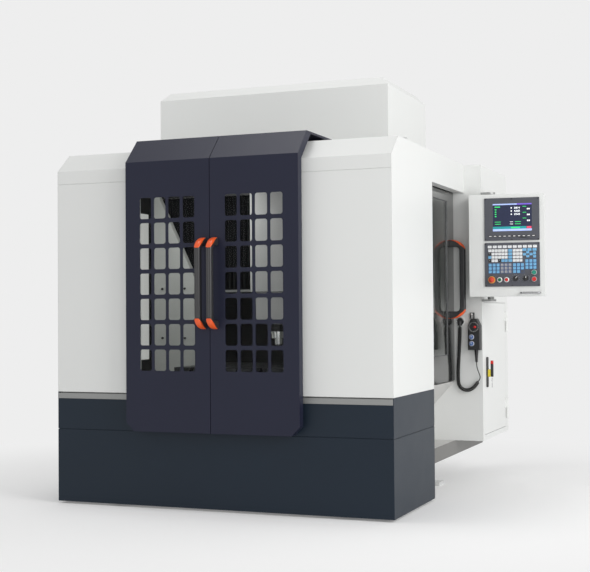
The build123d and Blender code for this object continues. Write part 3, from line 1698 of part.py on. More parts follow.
def key_block(left, low, pitch_x, pitch_y, columns, rows, width, height):
    """Lower left corner, then a grid of key rectangles: their centres and their size."""
    places = []
    for row in range(rows):
        for column in range(columns):
            places.append((left + column * pitch_x + width / 2, low + row * pitch_y + height / 2))
    return places, width, height


# Key panel: plate with raised key fields and bores for the controls
key_groups = [
    key_block(row_left, row_low, row_pitch, 0, row_keys, 1, row_key_width, row_key_height),
    key_block(
        letter_left,
        letter_low,
        letter_pitch_x,
        letter_pitch_y,
        letter_columns,
        letter_rows,
        letter_width,
        letter_height,
    ),
    key_block(
        digit_left,
        letter_low,
        letter_pitch_x,
        letter_pitch_y,
        digit_columns,
        letter_rows,
        letter_width,
        letter_height,
    ),
    key_block(edit_left, letter_low, 0, letter_pitch_y, 1, letter_rows, edit_width, letter_height),
    key_block(side_key_left, letter_low, 0, letter_pitch_y, 1, letter_rows, side_key_width, letter_height),
    key_block(
        mode_left_a, mode_low, mode_pitch_x, mode_pitch_y, mode_columns, mode_rows, mode_width, mode_height
    ),
    key_block(
        mode_left_b, mode_low, mode_pitch_x, mode_pitch_y, mode_columns, mode_rows, mode_width, mode_height
    ),
    key_block(
        mode_left_c, mode_low, mode_pitch_x, mode_pitch_y, mode_columns, mode_rows, mode_width, mode_height
    ),
    key_block(
        jog_left, jog_low, mode_pitch_x, mode_pitch_y, mode_columns, mode_rows, mode_width, mode_height
    ),
    key_block(extra_left, extra_low, row_pitch, 0, extra_keys, 1, row_key_width, row_key_height),
    key_block(
        extra_side_left, extra_side_low, 0, mode_pitch_y, 1, extra_side_rows, mode_width, mode_height
    ),
]
arrow_places = [
    (arrow_x, arrow_y + arrow_step_y),
    (arrow_x, arrow_y - arrow_step_y),
    (arrow_x - arrow_step_x, arrow_y),
    (arrow_x + arrow_step_x, arrow_y),
]
key_groups.append((arrow_places, arrow_width, arrow_height))
with BuildPart() as keypad:
    with BuildSketch(panel_plane(box_face)):
        with Locations((unit_left + unit_width / 2, middle_of(keypad_low, keypad_high))):
            RectangleRounded(unit_width, keypad_height, unit_edge)
        with Locations(*control_points):
            Circle(button_bore, mode=Mode.SUBTRACT)
    extrude(amount=unit_thickness)
    with BuildSketch(panel_plane(box_face + unit_thickness)):
        for places, width, height in key_groups:
            with Locations(*[(unit_left + u, keypad_low + v) for u, v in places]):
                Rectangle(width, height)
    extrude(amount=key_rise)
    with BuildSketch(panel_plane(box_face + unit_thickness)):
        with Locations(*control_points[1:5]):
            Circle(button_ring_radius)
            Circle(button_radius + button_ring_gap, mode=Mode.SUBTRACT)
        with Locations(control_points[0]):
            Circle(estop_ring_radius)
            Circle(button_bore, mode=Mode.SUBTRACT)
    extrude(amount=button_ring_height)
save(keypad.part, "key_panel")

# Bow handle of the control box: bent round bar with two feet
bow_right = box_width - box_left - bow_right_margin
bow_left = bow_right - bow_span
bow_z = box_low + bow_low
bow_plane = panel_plane(box_face)
with BuildPart() as bow:
    with BuildLine(bow_plane) as bow_line:
        bow_path = FilletPolyline(
            (bow_left, bow_z, 0),
            (bow_left, bow_z, bow_reach),
            (bow_right, bow_z, bow_reach),
            (bow_right, bow_z, 0),
            radius=bow_corner,
        )
    with BuildSketch(Plane(origin=bow_path @ 0, z_dir=bow_path % 0)):
        Circle(bow_radius)
    sweep()
save(bow.part, "box_bow_handle")


def push_button(point, radius, height):
    """Button with a stem in its bore: sketch point on the control box face, head radius and height."""
    with BuildPart() as button:
        stem_from = box_face + unit_thickness + button_ring_height - button_stem_length
        with BuildSketch(panel_plane(stem_from)):
            with Locations(point):
                Circle(button_bore - button_stem_gap)
        extrude(amount=button_stem_length)
        with BuildSketch(panel_plane(box_face + unit_thickness + button_ring_height)):
            with Locations(point):
                Circle(radius)
        extrude(amount=height)
    return button.part


# Push buttons, emergency stop mushroom and the two override switches
save(push_button(control_points[1], button_radius, button_height), "start_button")
save(push_button(control_points[2], button_radius, button_height), "stop_button")
save(push_button(control_points[3], button_radius, button_height), "power_on_button")
save(push_button(control_points[4], button_radius, button_height), "power_off_button")
with BuildPart() as estop:
    estop_from = box_face + unit_thickness + button_ring_height - button_stem_length
    with BuildSketch(panel_plane(estop_from)):
        with Locations(control_points[0]):
            Circle(button_bore - button_stem_gap)
    extrude(amount=button_stem_length + estop_neck_height)
    with BuildSketch(panel_plane(box_face + unit_thickness + estop_neck_height)):
        with Locations(control_points[0]):
            Circle(estop_radius)
    extrude(amount=estop_height - estop_neck_height)
    chamfer(estop.faces().sort_by(Axis.Y)[0].edges(), unit_edge)
save(estop.part, "estop_button")
for point, name in ((control_points[5], "feed_knob"), (control_points[6], "spindle_knob")):
    with BuildPart() as knob:
        with BuildSketch(panel_plane(box_face + unit_thickness - knob_stem_length)):
            with Locations(point):
                Circle(button_bore - button_stem_gap)
        extrude(amount=knob_stem_length)
        with BuildSketch(panel_plane(box_face + unit_thickness)):
            with Locations(point):
                Circle(knob_skirt_radius)
        extrude(amount=knob_skirt)
        with BuildSketch(panel_plane(box_face + unit_thickness + knob_skirt)):
            with Locations(point):
                SlotOverall(2 * knob_radius, 2 * knob_grip_half, rotation=90)
        extrude(amount=knob_height - knob_skirt)
    save(knob.part, name)

# Pendant body: shouldered case with a bail on top, hung against the cabinet front
pendant_right = pendant_left + pendant_width
pendant_face_y = cabinet_front_y - pendant_depth
with BuildPart() as pendant:
    with BuildSketch(at_y(cabinet_front_y)):
        with BuildLine():
            Polyline(
                (pendant_left, pendant_low),
                (pendant_right, pendant_low),
                (pendant_right, pendant_high - pendant_shoulder_rise),
                (pendant_right - pendant_shoulder, pendant_high),
                (pendant_left + pendant_shoulder, pendant_high),
                (pendant_left, pendant_high - pendant_shoulder_rise),
                close=True,
            )
        make_face()
    extrude(amount=pendant_depth)
    chamfer(pendant.faces().sort_by(Axis.Y)[0].edges(), pendant_edge)
    with BuildSketch(at_y(cabinet_front_y - hook_radius)):
        with Locations((pendant_bail_x, pendant_high + pendant_bail_height / 2)):
            Rectangle(pendant_bail_width, pendant_bail_height)
        with Locations((pendant_bail_x, pendant_high + pendant_bail_height / 2 - pendant_bail_bar)):
            Rectangle(pendant_bail_width - 2 * pendant_bail_bar, pendant_bail_height, mode=Mode.SUBTRACT)
    extrude(amount=pendant_bail_bar)
    with BuildSketch(at_y(pendant_face_y)):
        with Locations((dial_x, dial_height), (selector_x, selector_high), (selector_x, selector_low)):
            Circle(dial_stem_radius + slide_gap)
    extrude(amount=-dial_stem_length - slide_gap, mode=Mode.SUBTRACT)
save(pendant.part, "pendant_body")

# Hand wheel and selector knobs of the pendant
with BuildPart() as dial:
    with BuildSketch(at_y(pendant_face_y + dial_stem_length)):
        with Locations((dial_x, dial_height)):
            Circle(dial_stem_radius)
    extrude(amount=dial_stem_length + slide_gap)
    with BuildSketch(at_y(pendant_face_y - slide_gap)):
        with Locations((dial_x, dial_height)):
            Circle(dial_radius)
    extrude(amount=dial_thickness)
    with BuildSketch(at_y(pendant_face_y - slide_gap - dial_thickness)):
        with Locations((dial_x, dial_height)):
            Circle(dial_hub_radius)
    extrude(amount=dial_hub_height)
    with BuildSketch(at_y(pendant_face_y - slide_gap - dial_thickness)):
        with Locations((dial_x, dial_height + dial_grip_place)):
            Circle(dial_grip_radius)
    extrude(amount=dial_grip_height)
save(dial.part, "pendant_wheel")
for knob_z, name in ((selector_high, "pendant_axis_knob"), (selector_low, "pendant_step_knob")):
    with BuildPart() as selector:
        with BuildSketch(at_y(pendant_face_y + dial_stem_length)):
            with Locations((selector_x, knob_z)):
                Circle(dial_stem_radius)
        extrude(amount=dial_stem_length + slide_gap)
        with BuildSketch(at_y(pendant_face_y - slide_gap)):
            with Locations((selector_x, knob_z)):
                Circle(selector_radius)
        extrude(amount=knob_skirt)
        with BuildSketch(at_y(pendant_face_y - slide_gap - knob_skirt)):
            with Locations((selector_x, knob_z)):
                SlotOverall(selector_grip, selector_grip_width, rotation=90)
        extrude(amount=selector_height - knob_skirt)
    save(selector.part, name)

# Cord glands: tapered strain relief under the pendant and elbow connector on the cabinet
gland_y = cabinet_front_y - pendant_depth / 2
cord_y = cabinet_front_y - cord_off
with BuildPart() as glands:
    with BuildSketch(at_z(pendant_low)):
        with Locations((gland_x, gland_y)):
            Circle(gland_top_radius)
    with BuildSketch(at_z(pendant_low - gland_length)):
        with Locations((gland_x, gland_y)):
            Circle(gland_tip_radius)
    loft()
    with BuildSketch(at_y(cabinet_front_y)):
        with Locations((socket_x, socket_height)):
            Circle(socket_radius)
    extrude(amount=socket_length)
    with BuildSketch(at_z(socket_height - socket_nozzle)):
        with Locations((socket_x, cord_y)):
            Circle(socket_elbow_radius)
    extrude(amount=socket_nozzle)
save(glands.part, "cord_glands")


def cord_path(points):
    """Straight runs joined by tangent arcs, each as large as its two runs allow."""
    radii = []
    for before, corner, after in zip(points, points[1:], points[2:]):
        run_in = Vector(corner) - Vector(before)
        run_out = Vector(after) - Vector(corner)
        half_turn = radians(run_in.get_angle(run_out)) / 2
        radii.append(cord_arc_share * min(run_in.length, run_out.length) / tan(half_turn))
    print("arc radii", [round(radius) for radius in radii])
    return FilletPolyline(*points, radius=radii)


def cord_tube(points, radius):
    """Plain tube along a route, its ends square to the first and last run."""
    with BuildPart() as tube:
        with BuildLine():
            path = cord_path(points)
        with BuildSketch(Plane(origin=path @ 0, z_dir=path % 0)):
            Circle(radius)
        sweep()
    print("tube volume share", round(tube.part.volume / (pi * radius**2 * path.length), 4))
    return tube.part


# Cord: thick curl from the connector round to its end, straight lead from there up to the strain relief
coil_points = [(socket_x, cord_y, socket_height - socket_nozzle)] + [(x, cord_y, z) for x, z in coil_route]
lead_points = [coil_points[-1]] + lead_route + [(gland_x, gland_y, pendant_low - gland_length)]
save(cord_tube(lead_points, lead_radius), "cord_lead")
save(cord_tube(coil_points, coil_radius), "cord_coil")
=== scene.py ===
import json
from math import cos, pi, radians, sin

import bmesh
import bpy
import numpy as np
from mathutils import Matrix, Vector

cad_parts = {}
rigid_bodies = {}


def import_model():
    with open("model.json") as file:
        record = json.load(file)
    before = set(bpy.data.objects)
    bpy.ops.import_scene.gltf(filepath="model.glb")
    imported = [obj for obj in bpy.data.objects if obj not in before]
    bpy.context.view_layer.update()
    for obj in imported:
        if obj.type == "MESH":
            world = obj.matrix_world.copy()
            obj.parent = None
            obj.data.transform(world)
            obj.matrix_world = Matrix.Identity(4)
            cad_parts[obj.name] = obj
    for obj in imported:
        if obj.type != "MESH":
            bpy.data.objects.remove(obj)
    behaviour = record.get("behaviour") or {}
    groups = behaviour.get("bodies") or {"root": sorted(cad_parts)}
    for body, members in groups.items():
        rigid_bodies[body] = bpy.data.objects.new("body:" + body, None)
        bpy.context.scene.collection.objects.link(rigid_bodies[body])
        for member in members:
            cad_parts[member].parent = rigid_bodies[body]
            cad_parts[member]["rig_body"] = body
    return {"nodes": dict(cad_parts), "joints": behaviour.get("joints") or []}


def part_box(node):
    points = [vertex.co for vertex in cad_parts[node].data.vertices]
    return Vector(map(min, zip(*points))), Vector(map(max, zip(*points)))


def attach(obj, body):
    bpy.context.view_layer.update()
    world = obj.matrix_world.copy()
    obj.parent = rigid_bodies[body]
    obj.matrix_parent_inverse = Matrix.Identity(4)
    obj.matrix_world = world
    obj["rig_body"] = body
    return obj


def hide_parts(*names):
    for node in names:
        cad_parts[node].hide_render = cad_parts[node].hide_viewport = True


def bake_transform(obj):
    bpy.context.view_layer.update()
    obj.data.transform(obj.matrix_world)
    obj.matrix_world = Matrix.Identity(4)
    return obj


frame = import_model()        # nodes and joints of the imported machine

# The looks of an enclosed engraving machine. Metres; X to the right, Y to the rear, Z up.

NODES = frame["nodes"]
JOINTS = {joint["name"]: joint for joint in frame["joints"]}
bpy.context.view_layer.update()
ROOT = "machine_frame"
X_AXIS, Y_AXIS, Z_AXIS = np.eye(3)


# Seats: an origin with the directions across, up and out, on which pieces are laid


def seat_at(origin, across, up, out):
    """Seat of an origin and three directions, as arrays."""
    return tuple(np.array(v, float) for v in (origin, across, up, out))


def front_seat(x, y, z):
    """Seat that faces the front."""
    return seat_at((x, y, z), X_AXIS, Z_AXIS, -Y_AXIS)


def right_seat(x, y, z):
    """Seat that faces the right."""
    return seat_at((x, y, z), Y_AXIS, Z_AXIS, X_AXIS)


def round_steps(count):
    """Even turns round a circle."""
    return np.linspace(0, 2 * pi, count, endpoint=False)


def on_seat(seat, points):
    """Local points (across, up, out) in the machine's frame: origin plus each axis times its share."""
    origin, across, up, out = seat
    points = np.asarray(points, float)
    return origin + points[..., :1] * across + points[..., 1:2] * up + points[..., 2:3] * out


def shifted(seat, across=0.0, up=0.0, out=0.0):
    """The seat moved along its own directions."""
    return (on_seat(seat, np.array([across, up, out])),) + tuple(seat[1:])


def turned_seat(seat, turn, radius=0.0):
    """The seat turned clockwise about its outward axis and moved out along its own up direction."""
    origin, across, up, out = seat
    new_up = up * cos(turn) + across * sin(turn)
    return origin + new_up * radius, across * cos(turn) - up * sin(turn), new_up, out


def read_rows(items, name, width, kind=np.float32):
    """One property of all points or faces of a mesh, as an array of rows."""
    flat = np.zeros(len(items) * width, kind)
    items.foreach_get(name, flat)
    return flat.reshape(-1, width)


def corners(node):
    """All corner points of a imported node."""
    return read_rows(NODES[node].data.vertices, "co", 3).astype(float)


def span(node, direction):
    """Lowest and highest reach of a node along a direction."""
    reach = corners(node) @ np.asarray(direction, float)
    return reach.min(), reach.max()


# Surfaces: each is (points, tables of faces), worked out as whole arrays


def grid(points, round_rows=False, round_columns=False):
    """Quads over a table of points: each joins a point to the next column and the next row."""
    rows, columns = points.shape[:2]
    row = np.arange(rows if round_rows else rows - 1)[:, None]
    column = np.arange(columns if round_columns else columns - 1)[None, :]
    next_row, next_column = (row + 1) % rows, (column + 1) % columns
    places = ((row, column), (row, next_column), (next_row, next_column), (next_row, column))
    quads = np.stack([down * columns + along for down, along in places], axis=-1)
    return points.reshape(-1, 3), [quads.reshape(-1, 4)]


def stacked(rings):
    """A closed body of rings, one above the other: side quads and a face over the first and last ring."""
    points, tables = grid(rings, round_columns=True)
    levels, around = rings.shape[:2]
    ring = np.arange(around)[None]
    return points, tables + [ring[:, ::-1], ring + (levels - 1) * around]


def rounded_outline(width, height, corner, steps=5):
    """Rounded rectangle: each quarter circle is its corner centre plus radius times cosine and sine."""
    turn = np.linspace(0, pi / 2, steps)
    angle = (turn[None, :] + np.arange(4)[:, None] * pi / 2).ravel()
    side = np.repeat([[1, 1], [-1, 1], [-1, -1], [1, -1]], steps, axis=0)
    middle = side * [width / 2 - corner, height / 2 - corner]
    return middle + corner * np.stack([np.cos(angle), np.sin(angle)], axis=-1)


def plate(seat, width, height, levels, corner):
    """Rounded plate: its outline drawn in by an inset at each level (inset, out)."""
    rings = []
    for inset, out in levels:
        ring = rounded_outline(width - 2 * inset, height - 2 * inset, max(corner - inset, corner / 4))
        rings.append(np.column_stack([ring, np.full(len(ring), out)]))
    return stacked(on_seat(seat, np.array(rings)))


FINE_SIDES, KNOB_SIDES, SCREW_SIDES, CAP_SCREW_SIDES = 64, 32, 16, 20


def turned(seat, profile, sides=48, hollow=False):
    """Turned body: a profile of (radius, out) carried round the outward axis.

    A hollow body has a profile that closes on itself; any other gets a face over its first and last ring.
    """
    profile = np.asarray(profile, float)
    angle = round_steps(sides)
    circle = np.stack([np.cos(angle), np.sin(angle)], axis=-1)
    flat = profile[:, None, :1] * circle[None]
    out = np.broadcast_to(profile[:, None, 1:], flat.shape[:2] + (1,))
    points = on_seat(seat, np.concatenate([flat, out], axis=-1))
    return grid(points, True, True) if hollow else stacked(points)


def bar_along(start, end, width, height, up=Z_AXIS, edge=0.0006):
    """Straight bar of rounded section from one point to another."""
    start, end = np.asarray(start, float), np.asarray(end, float)
    out = (end - start) / np.linalg.norm(end - start)
    across = np.cross(up, out)
    ring = rounded_outline(width, height, edge, 3)
    rings = np.stack([np.column_stack([ring, np.full(len(ring), reach)]) for reach in (0.0, 1.0)])
    rings[..., 2] *= np.linalg.norm(end - start)
    return stacked(on_seat((start, across, np.asarray(up, float), out), rings))


# Pieces: a mesh from surfaces, with its finish and the body it rides on


MERGE_DISTANCE = 1e-6


def new_object(name, data):
    """A new object of the scene."""
    made = bpy.data.objects.new(name, data)
    bpy.context.scene.collection.objects.link(made)
    return made


def body_of(node):
    """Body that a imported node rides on."""
    return NODES[node]["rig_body"]


def piece(name, surfaces, body, finish, replaces=(), facing=None, wall=None, smooth=35.0):
    """One mesh of several surfaces. An open sheet is turned to face a direction and gets a wall."""
    points, faces, count = [], [], 0
    for surface_points, tables in surfaces:
        points.append(surface_points)
        for table in tables:
            faces += (table + count).tolist()
        count += len(surface_points)
    mesh = bpy.data.meshes.new(name)
    mesh.from_pydata(np.concatenate(points).tolist(), [], faces)
    body_mesh = bmesh.new()
    body_mesh.from_mesh(mesh)
    bmesh.ops.remove_doubles(body_mesh, verts=body_mesh.verts, dist=MERGE_DISTANCE)
    if facing is None:
        bmesh.ops.recalc_face_normals(body_mesh, faces=body_mesh.faces)
    body_mesh.to_mesh(mesh)
    body_mesh.free()
    if facing is not None:
        normals = read_rows(mesh.polygons, "normal", 3)
        areas = read_rows(mesh.polygons, "area", 1)
        if (areas * normals).sum(axis=0) @ facing < 0:
            mesh.flip_normals()
    mesh.shade_smooth()
    mesh.set_sharp_from_angle(angle=radians(smooth))
    made = new_object(name, mesh)
    mesh.materials.append(finish)
    if wall:
        solid = made.modifiers.new("wall", "SOLIDIFY")
        solid.thickness = wall
        solid.offset = -1
    if body:
        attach(made, body)
    if replaces:
        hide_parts(*replaces)
    return made


def smoothed(node, finish, angle=30.0):
    """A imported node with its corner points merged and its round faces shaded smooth, in the node's place."""
    surface = (corners(node), [read_rows(NODES[node].data.polygons, "vertices", 3, np.int32)])
    return piece(node + "_shaded", [surface], body_of(node), finish, (node,), smooth=angle)


# Finishes


def fill(tree, node, sockets):
    """Each named socket of a node gets a link from another node's output, or a plain value."""
    for name, value in sockets.items():
        if isinstance(value, bpy.types.NodeSocket):
            tree.links.new(value, node.inputs[name])
        else:
            node.inputs[name].default_value = value


def shader_node(tree, kind, sockets=None, **settings):
    """A new node with its own settings and filled sockets."""
    made = tree.nodes.new("ShaderNode" + kind)
    for name, value in settings.items():
        setattr(made, name, value)
    fill(tree, made, sockets or {})
    return made


def new_material(name):
    """A new material with its node tree and main shader."""
    made = bpy.data.materials.new(name)
    made.use_nodes = True
    return made, made.node_tree, made.node_tree.nodes["Principled BSDF"]


ROUGH_SPREAD = 0.15


def finish(name, colour, roughness, metallic=0.0, mottle=0.05, mottle_size=0.3, grain=0.1, grain_size=0.002,
           stretch=(1, 1, 1), coat=0.0, transmission=0.0, ior=1.5, glow=0.0):
    """Shader of one finish: soft noise shifts its colour and roughness, fine noise raises its grain."""
    made, tree, shader = new_material(name)
    place = shader_node(tree, "TexCoord").outputs["Object"]
    mapped = shader_node(tree, "Mapping", {"Vector": place, "Scale": stretch}).outputs["Vector"]
    soft = shader_node(tree, "TexNoise", {"Vector": mapped, "Scale": 1 / mottle_size, "Detail": 4}).outputs[0]
    dark = [value * (1 - mottle) for value in colour] + [1]
    light = [min(1, value * (1 + mottle)) for value in colour] + [1]
    mixed = shader_node(tree, "Mix", {"Factor": soft, "A": dark, "B": light}, data_type="RGBA")
    tint = mixed.outputs["Result"]
    rough = shader_node(tree, "MapRange", {"Value": soft, "To Min": roughness * (1 - ROUGH_SPREAD),
                                           "To Max": min(1, roughness * (1 + ROUGH_SPREAD))})
    sockets = {"Base Color": tint, "Roughness": rough.outputs["Result"], "Metallic": metallic, "IOR": ior,
               "Coat Weight": coat, "Transmission Weight": transmission}
    if grain:
        fine = shader_node(tree, "TexNoise", {"Vector": mapped, "Scale": 1 / grain_size, "Detail": 2})
        bump = shader_node(tree, "Bump", {"Height": fine.outputs[0], "Strength": grain,
                                          "Distance": grain_size / 4})
        sockets["Normal"] = bump.outputs["Normal"]
    if glow:
        sockets.update({"Emission Color": tint, "Emission Strength": glow})
    fill(tree, shader, sockets)
    return made


def split_coat(name, outside, inside, axis, limit, mirrored=False):
    """A coat with another colour where the place along one axis, or its size, is under a limit."""
    made = outside.copy()
    made.name = name
    tree = made.node_tree
    tint = next(node for node in tree.nodes if node.type == "MIX").outputs["Result"]
    place = next(node for node in tree.nodes if node.type == "TEX_COORD").outputs["Object"]
    reach = shader_node(tree, "SeparateXYZ", {0: place}).outputs[axis]
    if mirrored:
        reach = shader_node(tree, "Math", {0: reach}, operation="ABSOLUTE").outputs[0]
    inner = shader_node(tree, "Math", {0: reach, 1: limit}, operation="LESS_THAN").outputs[0]
    choose = shader_node(tree, "Mix", {"Factor": inner, "A": tint, "B": list(inside) + [1]}, data_type="RGBA")
    fill(tree, tree.nodes["Principled BSDF"], {"Base Color": choose.outputs["Result"]})
    return made


def lit_field(name, colour, glow, mottle=0.05, mottle_size=0.3):
    """Finish of a lit field of the screen."""
    return finish(name, colour, 0.25, mottle=mottle, mottle_size=mottle_size, grain=0.0, glow=glow)


def texture(mottle, mottle_size, grain, grain_size):
    """Soft and fine noise of a finish, each with its strength and size."""
    return {"mottle": mottle, "mottle_size": mottle_size, "grain": grain, "grain_size": grain_size}


COATED = {"grain": 0.16, "grain_size": 0.0016, "ior": 1.33}
PAINTED = {"grain": 0.25, "grain_size": 0.004}
FILM = {"mottle_size": 0.02, "grain": 0.1, "grain_size": 0.0006}
DRAWN = {"stretch": (0.03, 1, 1), **texture(0.07, 0.04, 0.12, 0.0009)}
PLASTIC = texture(0.08, 0.02, 0.05, 0.001)
MATT_CAP = texture(0.06, 0.02, 0.08, 0.001)
PRINTED = texture(0.04, 0.02, 0.05, 0.0008)

WHITE = finish("white_powder_coat", (0.8, 0.81, 0.795), 0.42, mottle=0.015, grain=0.06, grain_size=0.0018)
NAVY = finish("navy_powder_coat", (0.011, 0.0198, 0.0325), 0.42, mottle=0.1, **COATED)
INDIGO = finish("indigo_door_coat", (0.016, 0.018, 0.037), 0.4, mottle=0.08, **COATED)
SIDE_BLACK = finish("gloss_side_door", (0.03, 0.031, 0.031), 0.05, grain=0.0, coat=0.7, ior=1.6)
CASTING = finish("grey_casting_paint", (0.6, 0.61, 0.58), 0.5, mottle=0.06, **PAINTED)
DARK_CASTING = finish("dark_casting_paint", (0.2, 0.205, 0.2), 0.5, mottle=0.08, **PAINTED)
GREY_SHEET = finish("light_grey_sheet", (0.58, 0.575, 0.56), 0.42, mottle=0.03, grain=0.06)
STEEL = finish("ground_steel", (0.58, 0.58, 0.57), 0.3, metallic=1.0, stretch=(1, 0.05, 1),
               **texture(0.1, 0.05, 0.12, 0.0008))
BRIGHT_STEEL = finish("turned_steel", (0.78, 0.78, 0.77), 0.18, metallic=1.0, stretch=(1, 1, 6),
                      **texture(0.06, 0.02, 0.1, 0.0006))
TABLE_IRON = finish("ground_iron", (0.085, 0.088, 0.09), 0.4, metallic=0.6, stretch=(1, 8, 1),
                    **texture(0.1, 0.05, 0.12, 0.001))
TRACK = finish("anodised_track", (0.34, 0.345, 0.34), 0.4, metallic=0.6, **DRAWN)
PALE_TRACK = finish("pale_roof_track", (0.72, 0.73, 0.72), 0.4, metallic=0.3, **DRAWN)
CHROME = finish("polished_chrome", (0.66, 0.66, 0.67), 0.12, metallic=1.0, mottle=0.04, grain=0.0)
BOW_CHROME = finish("bow_chrome", (0.4, 0.4, 0.41), 0.16, metallic=1.0, mottle=0.06, mottle_size=0.02,
                    grain=0.0)
SATIN = finish("satin_ring", (0.8, 0.8, 0.79), 0.38, metallic=0.5, **PRINTED)
CLEAR = finish("clear_pane", (0.93, 0.95, 0.95), 0.02, mottle=0.02, grain=0.0, transmission=1.0, ior=1.12)
SMOKED = finish("smoked_pane", (0.78, 0.8, 0.79), 0.03, mottle=0.03, grain=0.0, transmission=1.0, ior=1.5)
# Frosted pane with a glow: painted light coming through the left wall
GLOWING_PANE = finish("frosted_pane_painted_light", (0.62, 0.62, 0.6), 0.5, mottle=0.06, mottle_size=0.2, grain=0.1,
                 glow=0.5)
GRIP = finish("ribbed_grip", (0.03, 0.03, 0.032), 0.36, **texture(0.12, 0.02, 0.2, 0.001))
ORANGE = finish("orange_cap", (0.86, 0.115, 0.022), 0.3, **MATT_CAP)
BLACK = finish("black_plastic", (0.018, 0.018, 0.019), 0.45, **texture(0.15, 0.03, 0.2, 0.0008))
CLOTH = finish("bellows_cloth", (0.0065, 0.0072, 0.0078), 0.8, ior=1.2, **texture(0.2, 0.05, 0.4, 0.0012))
BEZEL = finish("bezel_grey", (0.078, 0.082, 0.1), 0.4, **texture(0.06, 0.05, 0.15, 0.0007))
RED = finish("red_plastic", (0.62, 0.022, 0.018), 0.25, **PLASTIC)
STOP_RED = finish("emergency_red", (0.68, 0.062, 0.03), 0.3, **PLASTIC)
TEAL = finish("teal_plastic", (0.012, 0.27, 0.19), 0.25, **PLASTIC)
GREEN = finish("green_plastic", (0.012, 0.16, 0.07), 0.25, **PLASTIC)
YELLOW = finish("yellow_plastic", (0.8, 0.4, 0.045), 0.35, **MATT_CAP)
LEMON = finish("lemon_plastic", (0.74, 0.6, 0.045), 0.35, **MATT_CAP)
KEY_WHITE = finish("white_key_film", (0.86, 0.87, 0.88), 0.4, mottle=0.03, **FILM)
KEY_BLUE = finish("blue_key_film", (0.19, 0.48, 0.76), 0.4, mottle=0.04, **FILM)
KEY_GREY = finish("grey_key_film", (0.33, 0.33, 0.36), 0.4, mottle=0.04, **FILM)
KEY_GROUND = finish("dark_blue_key_ground", (0.045, 0.085, 0.2), 0.4, mottle=0.05, **FILM)
RUBBER = finish("cord_rubber", (0.014, 0.014, 0.014), 0.36, **texture(0.2, 0.02, 0.2, 0.0008))
KNOB_BLUE = finish("selector_blue", (0.09, 0.17, 0.4), 0.3, **texture(0.08, 0.01, 0.05, 0.0008))
MARK_WHITE = finish("printed_white", (0.8, 0.8, 0.8), 0.45, **PRINTED)
MODULE = finish("module_plastic", (0.16, 0.165, 0.17), 0.45, **texture(0.08, 0.05, 0.2, 0.001))
SCREEN_NIGHT = lit_field("screen_dark_blue", (0.006, 0.01, 0.034), 0.8, 0.1, 0.06)
SCREEN_TEAL = lit_field("screen_teal", (0.01, 0.22, 0.24), 0.7, 0.15, 0.06)
SCREEN_PALE = lit_field("screen_pale_blue", (0.36, 0.46, 0.8), 0.6, 0.15, 0.04)
SCREEN_VIOLET = lit_field("screen_violet", (0.16, 0.1, 0.55), 0.6, 0.15, 0.04)
SCREEN_RED = lit_field("screen_red", (0.7, 0.06, 0.12), 0.6)
SCREEN_GREEN = lit_field("screen_green", (0.03, 0.6, 0.14), 0.8)
SCREEN_WHITE = lit_field("screen_white", (0.85, 0.88, 0.9), 0.7, 0.03)

ROOF_LINE = 1.7
ARCH_INNER = 0.4515
rear_low, rear_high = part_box("rear_panel")
# Rear panel's inner face painted near black: painted shade inside the enclosure behind the portal
REAR_SHEET = split_coat("rear_sheet_painted_shade_inside", WHITE, (0.05, 0.05, 0.052), 1, (rear_low.y + rear_high.y) / 2)
ROOF_TRACK = split_coat("track_dark_below_roof", PALE_TRACK, (0.3, 0.305, 0.3), 2, ROOF_LINE)
# Chute painted dark grey below the cabinet's floor: partly a darker lower sheet, partly painted shade under
# the cabinet
CHUTE = split_coat("chute_lip_painted_shade", GREY_SHEET, (0.15, 0.147, 0.138), 2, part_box("cabinet_shell")[0].z)
# Portal painted near black between its columns: painted shade under the beam
ARCH_CASTING = split_coat("casting_painted_shade_in_arch", CASTING, (0.03, 0.031, 0.032), 0, ARCH_INNER, mirrored=True)

FINISH_OF = {
    REAR_SHEET: ["rear_panel"],
    WHITE: ["front_panels", "roof_cover", "side_panel_right", "side_panel_left", "gantry_cover",
            "cabinet_shell", "cabinet_door", "control_box"],
    NAVY: ["lower_skirt", "upper_skirt"],
    INDIGO: ["door_left", "door_right"],
    SIDE_BLACK: ["side_door"],
    CASTING: ["machine_bed"],
    ARCH_CASTING: ["portal"],
    DARK_CASTING: ["cross_saddle", "head_slide"],
    CHUTE: ["side_chute"],
    GREY_SHEET: ["head_cover"],
    PALE_TRACK: ["levelling_feet"],
    STEEL: ["guide_rails", "table_screw", "saddle_screw", "head_screw"],
    TABLE_IRON: ["work_table"],
    BRIGHT_STEEL: ["spindle_motor", "spindle_nose"],
    ROOF_TRACK: ["door_rails"],
    TRACK: ["swivel_post"],
    BOW_CHROME: ["box_bow_handle"],
    CLEAR: ["door_pane_left", "door_pane_right"],
    SMOKED: ["side_door_pane"],
    GRIP: ["door_handle_left", "door_handle_right", "side_door_handle"],
    BLACK: ["axis_motors", "head_motor", "lock_plate", "lock_lever", "feed_knob", "spindle_knob",
            "pendant_body", "pendant_wheel", "cord_glands"],
    CLOTH: ["saddle_bellows"],
    BEZEL: ["display_unit", "key_panel"],
    SCREEN_NIGHT: ["display_screen"],
    STOP_RED: ["estop_button"],
    RED: ["stop_button", "power_off_button"],
    GREEN: ["start_button"],
    TEAL: ["power_on_button"],
    KNOB_BLUE: ["pendant_axis_knob", "pendant_step_knob"],
    RUBBER: ["cord_lead", "cord_coil"],
    MODULE: ["drive_rack"],
}
for coat, names in FINISH_OF.items():
    for node_name in names:
        NODES[node_name].data.materials.clear()
        NODES[node_name].data.materials.append(coat)

SHEET_EDGE = 0.0012
EDGE_ANGLE = radians(40)
FLAT_ANGLE = radians(0.5)


